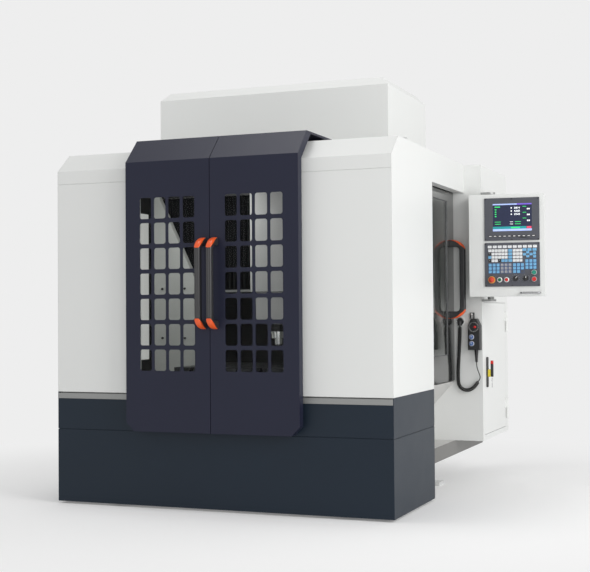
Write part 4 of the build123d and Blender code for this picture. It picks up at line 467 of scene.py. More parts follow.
def softened(node):
    """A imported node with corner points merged, flat faces joined and sharp edges softened, in its place."""
    made = smoothed(node, NODES[node].data.materials[0])
    body_mesh = bmesh.new()
    body_mesh.from_mesh(made.data)
    bmesh.ops.dissolve_limit(body_mesh, angle_limit=FLAT_ANGLE, verts=body_mesh.verts, edges=body_mesh.edges)
    body_mesh.to_mesh(made.data)
    body_mesh.free()
    edge = made.modifiers.new("edge", "BEVEL")
    edge.width = SHEET_EDGE
    edge.segments = 2
    edge.limit_method = "ANGLE"
    edge.angle_limit = EDGE_ANGLE
    edge.harden_normals = True


SHEET_NODES = ["front_panels", "roof_cover", "side_panel_right", "cabinet_shell", "cabinet_door",
               "control_box", "lower_skirt", "upper_skirt", "door_left", "door_right", "side_door",
               "head_cover", "display_unit", "pendant_body", "lock_plate", "door_rails", "portal",
               "machine_bed", "side_chute"]
for node_name in SHEET_NODES:
    softened(node_name)

ROUND_NODES = ["pendant_wheel", "pendant_axis_knob", "pendant_step_knob", "cord_glands", "box_bow_handle",
               "swivel_post", "spindle_motor", "spindle_nose", "lock_lever", "head_motor", "axis_motors",
               "levelling_feet"]
for node_name in ROUND_NODES:
    smoothed(node_name, NODES[node_name].data.materials[0])


# Door handles: arched grip with fluted front and an orange cap on each outer corner

HANDLE_CORNER = 0.062
HANDLE_BAR = 0.032
HANDLE_ARM = 0.04
INNER_CORNER = 0.05
INNER_SQUARE = 0.35
SECTION_SQUARE = 0.5
FLUTE_DEPTH = 0.0035
FLUTE_COUNT = 3
CAP_SKIN = 0.0016
CAP_START = radians(10)
CAP_WRAP = 1.5
CAP_WIDEST = 0.45
CAP_TIP = 0.25
FLUTE_START = 0.9
CAP_CROWDING, CAP_TAPER = 1.5, 1.6
ARCH_STEPS, BAR_SIDES, CAP_STEPS, CAP_SIDES = 22, 44, 40, 25


def signed_power(values, power):
    """Sign of each value times a power of its size."""
    return np.sign(values) * np.abs(values) ** power


def arch_sides(reach, tall, turn):
    """Outer and inner edge of the upper arch corner at a turn from 90 degrees at the door to 0 at the bar.

    Outer: ellipse of the reach and the corner height. Inner: the same with a square power of both shares.
    """
    outer = np.stack([reach * np.cos(turn), tall - HANDLE_CORNER + HANDLE_CORNER * np.sin(turn)], axis=-1)
    square_cos, square_sin = np.abs(np.cos(turn)) ** INNER_SQUARE, np.abs(np.sin(turn)) ** INNER_SQUARE
    inner_up = tall - HANDLE_ARM - INNER_CORNER + INNER_CORNER * square_sin
    inner = np.stack([(reach - HANDLE_BAR) * square_cos, inner_up], axis=-1)
    return outer, inner


def arch_section(seat, outer, inner, width, angle, skin=0.0, flute=0.0):
    """Points round the bar: middle plus half depth by a powered cosine and half width by a powered sine."""
    middle, half = (outer + inner) / 2, (outer - inner) / 2
    deep = np.linalg.norm(half, axis=-1, keepdims=True)
    way = half / deep
    depth_share = signed_power(np.cos(angle), SECTION_SQUARE)
    width_share = signed_power(np.sin(angle), SECTION_SQUARE)
    groove = flute * np.clip(np.cos(angle), 0, 1) ** 2 * (0.5 - 0.5 * np.cos(FLUTE_COUNT * pi * width_share))
    out_up = middle[:, None] + way[:, None] * ((deep + skin) * depth_share - groove)[..., None]
    across = np.broadcast_to((width / 2 + skin) * width_share, out_up.shape[:2])
    return on_seat(seat, np.stack([across, out_up[..., 1], out_up[..., 0]], axis=-1))


def door_handle(node, out, across, word):
    """Grip and caps of one sliding door, in the place and size of its plain handle."""
    reach = np.ptp(span(node, out))
    tall = np.ptp(span(node, Z_AXIS)) / 2
    width = np.ptp(span(node, across))
    middle = (span(node, across)[0] + width / 2) * across + (span(node, Z_AXIS)[0] + tall) * Z_AXIS
    seat = seat_at(middle + span(node, out)[0] * out, across, Z_AXIS, out)
    outer, inner = arch_sides(reach, tall, np.linspace(pi / 2, 0, ARCH_STEPS))
    outer = np.concatenate([outer, outer[::-1] * [1, -1]])
    inner = np.concatenate([inner, inner[::-1] * [1, -1]])
    angle = round_steps(BAR_SIDES)[None, :]
    on_bar = np.clip((outer[:, :1] / reach - FLUTE_START) / (1 - FLUTE_START), 0, 1)
    rings = arch_section(seat, outer, inner, width, angle, flute=FLUTE_DEPTH * on_bar)
    body = body_of(node)
    piece(f"{word}_grip", [stacked(rings)], body, GRIP, (node,))
    # Each cap is a leaf over the corner: a round tip on the bar, widest at mid length, narrow at the door
    share = np.linspace(0, 1, CAP_STEPS) ** CAP_CROWDING
    outer, inner = arch_sides(reach, tall, CAP_START + share * (pi / 2 - CAP_START))
    rounding = np.sqrt(1 - np.clip(1 - share / CAP_WIDEST, 0, 1) ** 2)
    taper = 1 - (1 - CAP_TIP) * np.clip((share - CAP_WIDEST) / (1 - CAP_WIDEST), 0, 1) ** CAP_TAPER
    wrap = np.linspace(-CAP_WRAP, CAP_WRAP, CAP_SIDES)[None, :] * (rounding * taper)[:, None]
    for end, flip in (("upper", 1), ("lower", -1)):
        points = arch_section(seat, outer * [1, flip], inner * [1, flip], width, wrap, skin=CAP_SKIN)
        piece(f"{word}_cap_{end}", [grid(points[1:])], body, ORANGE, (node,), facing=out,
              wall=2 * CAP_SKIN)


door_handle("door_handle_left", -Y_AXIS, X_AXIS, "left_door")
door_handle("door_handle_right", -Y_AXIS, X_AXIS, "right_door")
door_handle("side_door_handle", X_AXIS, Y_AXIS, "side_door")


# Bellows of the cross axis: pleated cloth from the portal ends to the saddle

PLEAT = 0.029
PLEAT_STEPS, CLOTH_ROWS = 8, 5
PLEAT_SHARPNESS = 0.7
CLOTH_WALL = 0.0016
bellows_low, bellows_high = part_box("saddle_bellows")
saddle_low, saddle_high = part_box("cross_saddle")


def bellows_cloth(name, fixed_end, moving_end):
    """Pleats: depth is a power of the sine's size over each pleat, so crests are round and valleys sharp."""
    low, high = bellows_low, bellows_high
    left, right = sorted((fixed_end, moving_end))
    folds = round((right - left) / PLEAT)
    share = np.linspace(0, 1, folds * PLEAT_STEPS + 1)
    wave = np.abs(np.sin(pi * folds * share)) ** PLEAT_SHARPNESS
    front, back = low.y + CLOTH_WALL, high.y - CLOTH_WALL
    x, y = left + (right - left) * share, back + (front - back) * wave
    heights = np.linspace(low.z, high.z, CLOTH_ROWS)
    points = np.stack(np.broadcast_arrays(x[None, :], y[None, :], heights[:, None]), axis=-1)
    made = piece(name, [grid(points)], None, CLOTH, ("saddle_bellows",), facing=-Y_AXIS,
                 wall=CLOTH_WALL, smooth=60)
    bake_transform(made)


bellows_cloth("bellows_left", bellows_low.x, saddle_low.x)
bellows_cloth("bellows_right", bellows_high.x, saddle_high.x)

STRIP_HEIGHT = 0.012
STRIP_DEPTH = 0.006
strip_y = bellows_low.y - STRIP_DEPTH
for word, z, coat, slot in (
    ("lower", bellows_low.z - STRIP_HEIGHT, TRACK, "aluminium"),
    ("upper", bellows_high.z + STRIP_HEIGHT / 2, BLACK, "black_plastic"),
):
    strip = bar_along((bellows_low.x, strip_y, z), (bellows_high.x, strip_y, z), STRIP_DEPTH, STRIP_HEIGHT)
    piece(f"bellows_guide_{word}", [strip], ROOT, coat)


# Control box: key caps, key grounds and soft keys

OUT = -np.array(JOINTS["start_press"]["axis"], float)
ALONG = np.cross(Z_AXIS, OUT)
RING_HEIGHT = 0.004
KEY_RISE = 0.0016
PANEL = "control_panel"


def unit_seat(node, raised):
    """Lower left corner of a unit's front face; raised is how far its tallest moulding stands out."""
    corner = span(node, ALONG)[0] * ALONG + span(node, Z_AXIS)[0] * Z_AXIS
    return seat_at(corner + (span(node, OUT)[1] - raised) * OUT, ALONG, Z_AXIS, OUT)


KEY_SEAT, SHOW_SEAT = unit_seat("key_panel", RING_HEIGHT), unit_seat("display_unit", KEY_RISE)
UNIT_WIDTH = np.ptp(span("key_panel", ALONG))
KEY_UNIT_HEIGHT = np.ptp(span("key_panel", Z_AXIS))
SHOW_UNIT_HEIGHT = np.ptp(span("display_unit", Z_AXIS))

ROW_KEY, LETTER_KEY, EDIT_KEY = (0.0214, 0.0144), (0.016, 0.0148), (0.0204, 0.0148)
ARROW_KEY, MODE_KEY = (0.0164, 0.0134), (0.0154, 0.015)
KEY_CORNER = 0.0022
KEY_FILM = 0.0005
KEY_TOP = KEY_RISE + KEY_FILM
CAP_LEVELS = [(0, 0), (0, KEY_RISE), (KEY_FILM, KEY_TOP)]


def row_of(start, pitch, count):
    """Places at an even pitch: start plus pitch times the number."""
    return [start + pitch * n for n in range(count)]


LETTER_X, LETTER_Y = row_of(0.0454, 0.0178, 5), row_of(0.1422, 0.0184, 4)
DIGIT_X = row_of(0.1608, 0.0178, 3)
MODE_A, MODE_B, MODE_C, JOG_X = (row_of(start, 0.0213, 3) for start in (0.0295, 0.0945, 0.1615, 0.2285))
MODE_Y, JOG_Y = row_of(0.0813, 0.0186, 3), row_of(0.1023, 0.0186, 3)
EDIT_X = 0.139
SIDE_X = 0.0278
ROW_Y, EXTRA_Y, PAGE_Y = 0.218, 0.2003, [0.1634, 0.1815]
EXTRA_X = [0.2159, 0.2431, 0.2703]
ARROW_X, ARROW_Y = 0.2335, 0.175
ARROW_STEP_X, ARROW_STEP_Y = 0.0178, 0.0106


def every(columns, rows, size):
    """A key of one size at each crossing of columns and rows."""
    return [(x, y, size) for y in rows for x in columns]


KEY_DASH, DASH_CORNER = (0.0052, 0.0013), 0.0004
DASH_PLACE = (-0.0016, 0.0026)
DASH_LEVELS = [(0, KEY_TOP), (0, KEY_TOP + 0.0002)]
GROUND_RIM = 0.0045
GROUND_LEVELS = [(0, 0), (0, 0.0006)]


def key_caps(name, keys, coat, ink):
    """Film key caps over the raised key fields: rounded plates with a drawn-in rim and a printed dash."""
    caps = [plate(shifted(KEY_SEAT, x, y), *size, CAP_LEVELS, KEY_CORNER) for x, y, size in keys]
    piece(name, caps, PANEL, coat)
    dash_seat = shifted(KEY_SEAT, *DASH_PLACE)
    dashes = [plate(shifted(dash_seat, x, y), *KEY_DASH, DASH_LEVELS, DASH_CORNER) for x, y, size in keys]
    piece(name + "_dashes", dashes, PANEL, ink)


def key_ground(columns, rows):
    """Thin dark plate under a block of keys."""
    width = columns[-1] - columns[0] + MODE_KEY[0] + GROUND_RIM
    height = rows[-1] - rows[0] + MODE_KEY[1] + GROUND_RIM
    middle = shifted(KEY_SEAT, (columns[0] + columns[-1]) / 2, (rows[0] + rows[-1]) / 2)
    return plate(middle, width, height, GROUND_LEVELS, KEY_CORNER)


key_blocks = ((MODE_A, MODE_Y), (MODE_B, MODE_Y), (MODE_C, MODE_Y), (JOG_X, JOG_Y))
piece("key_grounds", [key_ground(*block) for block in key_blocks], PANEL, KEY_GROUND)

white_keys = every(row_of(0.028, 0.0272, 10), [ROW_Y], ROW_KEY)
white_keys += every(LETTER_X, LETTER_Y[1:], LETTER_KEY) + every(DIGIT_X, LETTER_Y, LETTER_KEY)
white_keys += every(LETTER_X[:2], LETTER_Y[:1], LETTER_KEY) + every([SIDE_X], LETTER_Y[3:], LETTER_KEY)
blue_keys = every([EDIT_X], LETTER_Y, EDIT_KEY) + every(LETTER_X[3:], LETTER_Y[:1], LETTER_KEY)
blue_keys += every(MODE_A, MODE_Y, MODE_KEY) + every(MODE_C, MODE_Y[1:], MODE_KEY)
blue_keys += every(MODE_C[:2], MODE_Y[:1], MODE_KEY) + every(JOG_X, JOG_Y, MODE_KEY)
blue_keys += every([SIDE_X], LETTER_Y[1:2], LETTER_KEY) + every(EXTRA_X, [EXTRA_Y], ROW_KEY)
blue_keys += every(EXTRA_X[2:], PAGE_Y, MODE_KEY)
blue_keys += every([ARROW_X], [ARROW_Y + ARROW_STEP_Y, ARROW_Y - ARROW_STEP_Y], ARROW_KEY)
blue_keys += every([ARROW_X - ARROW_STEP_X, ARROW_X + ARROW_STEP_X], [ARROW_Y], ARROW_KEY)
black_keys = every([SIDE_X], LETTER_Y[0:3:2], LETTER_KEY) + every(LETTER_X[2:3], LETTER_Y[:1], LETTER_KEY)
key_caps("keys_white", white_keys, KEY_WHITE, MODULE)
key_caps("keys_blue", blue_keys, KEY_BLUE, KEY_GROUND)
key_caps("keys_grey", every(MODE_B, MODE_Y, MODE_KEY), KEY_GREY, MARK_WHITE)
key_caps("keys_black", black_keys, BLACK, MARK_WHITE)

SOFT_KEY, SOFT_MARK = (0.0194, 0.0094), (0.013, 0.0042)
SOFT_COUNT, SOFT_PITCH, SOFT_HEIGHT = 10, 0.026, 0.024
MARK_LEVELS = [(0, KEY_RISE), (0, KEY_RISE + 2 * KEY_FILM)]
soft_start = UNIT_WIDTH / 2 - SOFT_PITCH * (SOFT_COUNT - 1) / 2
soft_seats = [shifted(SHOW_SEAT, x, SOFT_HEIGHT) for x in row_of(soft_start, SOFT_PITCH, SOFT_COUNT)]
piece("soft_keys", [plate(seat, *SOFT_KEY, CAP_LEVELS, KEY_CORNER) for seat in soft_seats], PANEL, BLACK)
soft_marks = [plate(seat, *SOFT_MARK, MARK_LEVELS, KEY_FILM) for seat in soft_seats]
piece("soft_key_marks", soft_marks, PANEL, MARK_WHITE)

# Screen picture: fields of colour and plain figures, given as shares of the screen

SCREEN_LIFT = 0.0002
DIGIT_STROKES = {
    "0": "abcdef", "1": "bc", "2": "abged", "3": "abgcd", "4": "fgbc",
    "5": "afgcd", "6": "afgedc", "7": "abc", "8": "abcdefg", "9": "abcdfg",
}
STROKE_PLACES = {
    "a": (0.5, 1.0, 1, 0), "b": (1.0, 0.75, 0, 1), "c": (1.0, 0.25, 0, 1), "d": (0.5, 0.0, 1, 0),
    "e": (0.0, 0.25, 0, 1), "f": (0.0, 0.75, 0, 1), "g": (0.5, 0.5, 1, 0),
}
SCREEN_SEAT = unit_seat("display_screen", 0.0)
SCREEN_WIDTH = np.ptp(span("display_screen", ALONG))
SCREEN_HEIGHT = np.ptp(span("display_screen", Z_AXIS))


def field(left, low, right, high, layer):
    """A thin rectangle on the screen between shares of its width and height."""
    width, height = (right - left) * SCREEN_WIDTH, (high - low) * SCREEN_HEIGHT
    middle = shifted(SCREEN_SEAT, (left + right) / 2 * SCREEN_WIDTH, (low + high) / 2 * SCREEN_HEIGHT)
    return plate(middle, width, height, [(0, 0), (0, layer * SCREEN_LIFT)], SCREEN_LIFT)


def figures(digits, left, low, width, height, pitch, stroke):
    """Plain figures of straight strokes, each stroke a thin rectangle."""
    made = []
    for place, digit in enumerate(digits):
        for x, y, flat, upright in (STROKE_PLACES[mark] for mark in DIGIT_STROKES.get(digit, "")):
            half_x = (width * flat + stroke) / 2
            half_y = (height / 2 * upright + stroke) / 2
            centre_x, centre_y = left + place * pitch + x * width, low + y * height
            made.append(field(centre_x - half_x, centre_y - half_y, centre_x + half_x, centre_y + half_y, 3))
    return made


green_fields = [field(0.05, 0.865, 0.19, 0.9, 2), field(0.47, 0.1, 0.7, 0.14, 2)]
green_fields += [field(0.055, 0.52 + 0.082 * n, 0.095, 0.555 + 0.082 * n, 2) for n in range(4)]
green_fields += [field(left, low, left + 0.15, low + 0.018, 2)
                 for low in (0.245, 0.325) for left in (0.055, 0.57)]
green_fields += [field(0.77, low, 0.86, low + 0.018, 2) for low in (0.875, 0.66, 0.45)]
white_marks = []
for row, digits in enumerate(("250", "500", "064")):
    white_marks += figures(digits, 0.56, 0.585 + 0.115 * row, 0.026, 0.052, 0.052, 0.01)
    white_marks.append(field(0.465, 0.59 + 0.115 * row, 0.495, 0.632 + 0.115 * row, 3))
white_marks += [field(0.44, low, 0.52, low + 0.016, 2) for low in (0.245, 0.325)]
white_marks += [field(left, low, left + 0.03, low + 0.05, 2)
                for low in (0.77, 0.56, 0.345) for left in (0.88, 0.92)]
for word, fields, coat in (
    ("header", [field(0, 0.955, 0.62, 1, 1), field(0, 0, 1, 0.075, 1)], SCREEN_PALE),
    ("title", [field(0.62, 0.955, 1, 1, 1)], SCREEN_VIOLET),
    ("band", [field(0, 0.075, 0.86, 0.165, 1)], SCREEN_TEAL),
    ("alarm", [field(0.87, 0.085, 0.99, 0.16, 1)], SCREEN_RED),
    ("green_lines", green_fields, SCREEN_GREEN),
    ("figures", white_marks, SCREEN_WHITE),
):
    piece("screen_" + word, fields, PANEL, coat)

# Push buttons with their rings, emergency stop with its collar, pointers and scales of the two switches

RING_RADIUS = 0.0152
RING_GAP = 0.0004
RING_LIP = [(0.0, 0.0022), (0.0012, 0.0013)]
RING_SHOULDER = (0.0018, 0.0026)
RING_FOOT = 0.003
BUTTON_EDGE = [(0.0, 0.0012), (0.0011, 0.0002)]
POINTER_LIFT = 0.0006


def control_seat(node):
    """Seat on the key panel face at a control's own middle, with its low and top reach above that face."""
    face = KEY_SEAT[0] @ OUT
    middle = np.mean(span(node, ALONG)) * ALONG + np.mean(span(node, Z_AXIS)) * Z_AXIS
    low, top = np.array(span(node, OUT)) - face
    return seat_at(middle + face * OUT, ALONG, Z_AXIS, OUT), low, top


def flat_mark(seat, size, corner):
    """A thin printed mark."""
    return plate(seat, *size, [(0, 0), (0, POINTER_LIFT)], corner)


def scale_marks(seat, size, radius, turns):
    """Marks of a scale on a circle round a seat."""
    return [flat_mark(turned_seat(seat, turn, radius), size, POINTER_LIFT / 2) for turn in turns]


def push_button(node, coat, radius):
    """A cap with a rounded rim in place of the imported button; returns the bright hollow ring round it."""
    seat, low, top = control_seat(node)
    edge = [(radius - inset, top - drop) for inset, drop in BUTTON_EDGE]
    cap = [(radius, low)] + edge + [(0.0, top)]
    piece(node + "_cap", [turned(seat, cap)], body_of(node), coat, (node,))
    inner = radius + RING_GAP
    lip = [(inner + reach, top - drop) for reach, drop in RING_LIP]
    shoulder = (RING_RADIUS - RING_SHOULDER[0], top - RING_SHOULDER[1])
    ring = [(inner, 0.0)] + lip + [shoulder, (RING_RADIUS, RING_FOOT), (RING_RADIUS, 0.0)]
    return turned(seat, ring, hollow=True)


SMALL_CAP, LARGE_CAP = 0.0086, 0.0112
BUTTONS = (("start_button", GREEN, SMALL_CAP), ("stop_button", RED, SMALL_CAP),
           ("power_on_button", TEAL, LARGE_CAP), ("power_off_button", RED, LARGE_CAP))
piece("button_rings", [push_button(*button) for button in BUTTONS], PANEL, SATIN)

COLLAR = [(0.0112, 0.0), (0.0112, 0.0046), (0.015, 0.0064), (0.0188, 0.0058), (0.02, 0.0036), (0.02, 0.0)]
STOP_HEAD = [(0.01, 0.006), (0.01, 0.012), (0.0152, 0.0132), (0.016, 0.0165), (0.015, 0.0205),
             (0.011, 0.024)]
STOP_STEM = 0.01
STOP_CROWN = (0.006, 0.0005)
stop_seat, stop_low, stop_top = control_seat("estop_button")
stop_crown = [(STOP_CROWN[0], stop_top - STOP_CROWN[1]), (0.0, stop_top)]
stop_profile = [(STOP_STEM, stop_low)] + STOP_HEAD + stop_crown
piece("emergency_collar", [turned(stop_seat, COLLAR, hollow=True)], PANEL, YELLOW)
piece("emergency_head", [turned(stop_seat, stop_profile)], "emergency_stop", STOP_RED,
      ("estop_button",))

SKIRT_RADIUS = 0.014
SKIRT_HEIGHT = 0.0065
SKIRT_DRAFT, SKIRT_GAP = 0.0006, 0.0004
SKIRT_EDGE = (0.0016, 0.002)
GRIP_BAR, GRIP_CORNER, GRIP_SEAT = (0.0105, 0.03), 0.004, 0.0005
GRIP_EDGE = (0.0014, 0.0016)
POINTER = (0.0026, 0.013)
POINTER_RADIUS = 0.0075
TICK = (0.0008, 0.0022)
TICK_RADIUS = 0.0205
TICK_TURNS = np.radians(np.arange(-135, 136, 30))
for node, turn in (("feed_knob", radians(40)), ("spindle_knob", radians(12))):
    seat, low, top = control_seat(node)
    skirt = [(SKIRT_RADIUS - SKIRT_DRAFT, max(low, SKIRT_GAP)), (SKIRT_RADIUS, SKIRT_HEIGHT - SKIRT_EDGE[1]),
             (SKIRT_RADIUS - SKIRT_EDGE[0], SKIRT_HEIGHT), (0.0, SKIRT_HEIGHT)]
    bar_levels = [(0, SKIRT_HEIGHT - GRIP_SEAT), (0, top - GRIP_EDGE[1]), (GRIP_EDGE[0], top - POINTER_LIFT)]
    grip = plate(turned_seat(seat, turn), *GRIP_BAR, bar_levels, GRIP_CORNER)
    piece(f"{node}_grip", [turned(seat, skirt), grip], body_of(node), BLACK, (node,))
    pointer_seat = turned_seat(shifted(seat, out=top - POINTER_LIFT), turn, POINTER_RADIUS)
    piece(f"{node}_pointer", [flat_mark(pointer_seat, POINTER, POINTER_LIFT)], body_of(node), MARK_WHITE)
    piece(f"{node}_scale", scale_marks(seat, TICK, TICK_RADIUS, TICK_TURNS), PANEL, MARK_WHITE)

SCREW_HEAD = [(0.0036, 0.0), (0.0036, 0.001), (0.003, 0.002), (0.0019, 0.0023), (0.0017, 0.0012),
              (0.0, 0.0012)]
SCREW_INSET = 0.006
screws = [turned(shifted(seat, x, y), SCREW_HEAD, SCREW_SIDES)
          for seat, height in ((SHOW_SEAT, SHOW_UNIT_HEIGHT), (KEY_SEAT, KEY_UNIT_HEIGHT))
          for x in (SCREW_INSET, UNIT_WIDTH / 2, UNIT_WIDTH - SCREW_INSET)
          for y in (SCREW_INSET, height - SCREW_INSET)]
piece("unit_screws", screws, PANEL, BLACK)


# Hand pendant: dial scale, red hub and selector pointers

DIAL_FACE = 0.0093
RED_HUB = [(0.007, 0.0), (0.007, 0.005), (0.006, 0.0074), (0.0034, 0.0088), (0.0, 0.0092)]
HUB_OFFSET = 0.0075
DIAL_TICK = (0.0011, 0.0034)
DIAL_RADIUS = 0.0258
DIAL_MARKS = 40
pendant_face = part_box("pendant_body")[0].y
wheel_pos = JOINTS["hand_wheel_spin"]["pos_m"]
wheel_seat = front_seat(wheel_pos[0], pendant_face - DIAL_FACE, wheel_pos[2])
piece("dial_hub", [turned(shifted(wheel_seat, HUB_OFFSET), RED_HUB, KNOB_SIDES)], "hand_wheel", RED)
dial_marks = scale_marks(wheel_seat, DIAL_TICK, DIAL_RADIUS, round_steps(DIAL_MARKS))
piece("dial_scale", dial_marks, "hand_wheel", MARK_WHITE)

SELECTOR_POINTER = (0.003, 0.01)
SELECTOR_RING = [(0.0121, 0.0), (0.0121, 0.004), (0.0128, 0.0044), (0.014, 0.0036), (0.0142, 0.0)]
SELECTOR_RISE = 0.0048
for node, body in (("pendant_axis_knob", "axis_selector"), ("pendant_step_knob", "step_selector")):
    low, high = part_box(node)
    middle = (low + high) / 2
    pointer_seat = front_seat(middle.x, low.y, middle.z + SELECTOR_RISE)
    piece(f"{node}_pointer", [flat_mark(pointer_seat, SELECTOR_POINTER, POINTER_LIFT)], body, MARK_WHITE)
    ring_seat = front_seat(middle.x, pendant_face, middle.z)
    piece(f"{node}_ring", [turned(ring_seat, SELECTOR_RING, KNOB_SIDES)], ROOT, MARK_WHITE)


# Curly cord from the pendant's strain relief, round below, up to the connector on the cabinet

CORD_WIRE = 0.0026
COIL_RADIUS = 0.0084
COIL_PITCH = 0.0066
COIL_STEPS, LEAD_STEPS = 14, 12
CORD_Y = 0.602
LEAD_ROUTE = [(0.97, 0.596, 0.683), (0.97, 0.596, 0.658), (0.979, 0.5985, 0.63), (0.992, 0.602, 0.5955)]
COIL_ROUTE = [(x, CORD_Y, z) for x, z in (
    (0.978, 0.576), (0.964, 0.5565), (0.9493, 0.5379), (0.9187, 0.523), (0.8855, 0.53), (0.8635, 0.556),
    (0.8625, 0.6), (0.863, 0.645), (0.868, 0.718), (0.872, 0.792), (0.875, 0.852), (0.875, 0.888))]


def cord_curve(name, points, radius):
    """A curve of one open spline with these control points and a round section."""
    curve = bpy.data.curves.new(name, "CURVE")
    curve.dimensions = "3D"
    spline = curve.splines.new("NURBS")
    spline.points.add(len(points) - 1)
    homogeneous = np.column_stack([points, np.ones(len(points))])
    spline.points.foreach_set("co", homogeneous.ravel())
    spline.order_u = 3
    spline.use_endpoint_u = True
    curve.bevel_depth = radius
    curve.bevel_resolution = 3
    curve.use_fill_caps = True
    return new_object(name, curve)


def route_points(route):
    """Points read along the route's smooth line."""
    line = cord_curve("cord_route", route, 0.0)
    line.data.resolution_u = 24
    bpy.context.view_layer.update()
    mesh = bpy.data.meshes.new_from_object(line.evaluated_get(bpy.context.evaluated_depsgraph_get()))
    points = read_rows(mesh.vertices, "co", 3).astype(float)
    bpy.data.objects.remove(line)
    bpy.data.meshes.remove(mesh)
    return points


def smooth_step(share):
    """Three times the square less twice the cube of a share, level at 0 and at 1."""
    share = np.clip(share, 0, 1)
    return share * share * (3 - 2 * share)


def pendant_cord():
    """Helix round the route: radius times cosine along Y and sine along the normal, drawn in at both ends."""
    route = route_points(LEAD_ROUTE + COIL_ROUTE)
    along = np.concatenate([[0], np.cumsum(np.linalg.norm(np.diff(route, axis=0), axis=1))])
    start = along[np.argmin(np.linalg.norm(route - np.array(COIL_ROUTE[0]), axis=1))]
    turns = (along[-1] - start) / COIL_PITCH
    lead_at = np.linspace(0, start, LEAD_STEPS, endpoint=False)
    coil_at = np.linspace(start, along[-1], int(turns * COIL_STEPS))
    at = np.concatenate([lead_at, coil_at])
    centre = np.stack([np.interp(at, along, route[:, axis]) for axis in range(3)], axis=-1)
    way = np.gradient(centre, at, axis=0)
    way /= np.linalg.norm(way, axis=1, keepdims=True)
    side = np.cross(way, Y_AXIS)
    side /= np.linalg.norm(side, axis=1, keepdims=True)
    other = np.cross(side, way)
    turn = (2 * pi * (at - start) / COIL_PITCH)[:, None]
    swell = smooth_step((at - start) / COIL_PITCH) * smooth_step((along[-1] - at) / (2 * COIL_PITCH))
    points = centre + (COIL_RADIUS * swell)[:, None] * (np.cos(turn) * other + np.sin(turn) * side)
    made = cord_curve("pendant_cord", points, CORD_WIRE)
    made.data.resolution_u = 2
    made.data.materials.append(RUBBER)
    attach(made, ROOT)
    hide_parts("cord_lead", "cord_coil")
    length = np.linalg.norm(np.diff(points, axis=0), axis=1).sum()
    return made, length


cord, cord_length = pendant_cord()

SOCKET_RING = [(0.0172, 0.0), (0.0172, 0.012), (0.019, 0.0128), (0.0215, 0.01), (0.0215, 0.0)]
SOCKET_HEIGHT, SOCKET_SIDES = 0.912, 40
socket_seat = front_seat(COIL_ROUTE[-1][0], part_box("cord_glands")[1].y, SOCKET_HEIGHT)
piece("cord_socket_ring", [turned(socket_seat, SOCKET_RING, SOCKET_SIDES)], ROOT, CHROME)


# Cabinet lock: yellow hub between plate and lever, red lever end, key on its ring

lock_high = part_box("lock_plate")[1]
lever_low, lever_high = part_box("lock_lever")
lock_pivot = JOINTS["lock_turn"]["pos_m"]
LEVER_THICKNESS = 0.013
HUB_SIZE, HUB_CORNER, HUB_DROP = (0.022, 0.042), 0.004, 0.005
HUB_FOOT, HUB_GAP = 0.0006, 0.0004
HUB_EDGE = (0.0008, 0.0012)
lever_back = lever_high.x - LEVER_THICKNESS
hub_reach = lever_back - lock_high.x
hub_seat = right_seat(lock_high.x, lock_pivot[1], lock_pivot[2] - HUB_DROP)
hub_levels = [(0, HUB_FOOT), (0, hub_reach - HUB_EDGE[1]), (HUB_EDGE[0], hub_reach - HUB_GAP)]
piece("lock_hub", [plate(hub_seat, *HUB_SIZE, hub_levels, HUB_CORNER)], "lock", LEMON)
RED_END, RED_CORNER = (0.019, 0.024), 0.008
RED_LEVELS = [(0, -0.0004), (0, 0.0122), (0.0012, 0.0138)]
red_seat = right_seat(lever_back, lock_pivot[1], lever_high.z - RED_END[1] / 2)
piece("lever_red_end", [plate(red_seat, *RED_END, RED_LEVELS, RED_CORNER)], "lock", RED)

KEY_RING_RADIUS = 0.009
KEY_RING_WIRE = 0.0009
KEY_RING_SIDES, WIRE_SIDES = 36, 10
KEY_BOW, BOW_CORNER = (0.017, 0.018), 0.007
KEY_BLADE, BLADE_CORNER = (0.006, 0.034), 0.0012
BLADE_OVERLAP = 0.001
KEY_LEVELS = [(0, -0.001), (0, 0.0006), (0.0004, 0.001)]
wire_turn = round_steps(WIRE_SIDES)
wire_reach = KEY_RING_RADIUS + KEY_RING_WIRE * np.cos(wire_turn)
wire = np.column_stack([wire_reach, KEY_RING_WIRE * np.sin(wire_turn)])
ring_seat = right_seat(lever_high.x - LEVER_THICKNESS / 2, lock_pivot[1], lever_low.z - KEY_RING_RADIUS / 2)
bow_seat = shifted(ring_seat, up=-KEY_RING_RADIUS - KEY_BOW[1] / 3)
blade_seat = shifted(bow_seat, up=-(KEY_BOW[1] + KEY_BLADE[1]) / 2 + BLADE_OVERLAP)
key_parts = [turned(ring_seat, wire, KEY_RING_SIDES, hollow=True),
             plate(bow_seat, *KEY_BOW, KEY_LEVELS, BOW_CORNER),
             plate(blade_seat, *KEY_BLADE, KEY_LEVELS, BLADE_CORNER)]
piece("lock_key", key_parts, "lock", CHROME)


# Spindle: grey clamp sleeve and black seal ring round the motor, above its bright nose

spindle_low, spindle_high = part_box("spindle_motor")
spindle_middle = (spindle_low + spindle_high) / 2
SLEEVE_RADIUS, SEAL_RADIUS, MOTOR_RADIUS = 0.056, 0.06, 0.0502
SLEEVE_REACH = (0.9085, 0.9545)
SEAL_REACH = (0.869, 0.9075)
RING_EDGE = 0.0015
FRONT_PLATE, FRONT_PLATE_CORNER = (0.2, 0.16), 0.004
FRONT_PLATE_LEVELS = [(0, 0.0002), (0, 0.0108), (0.001, 0.012)]
PLATE_GAP = 0.002


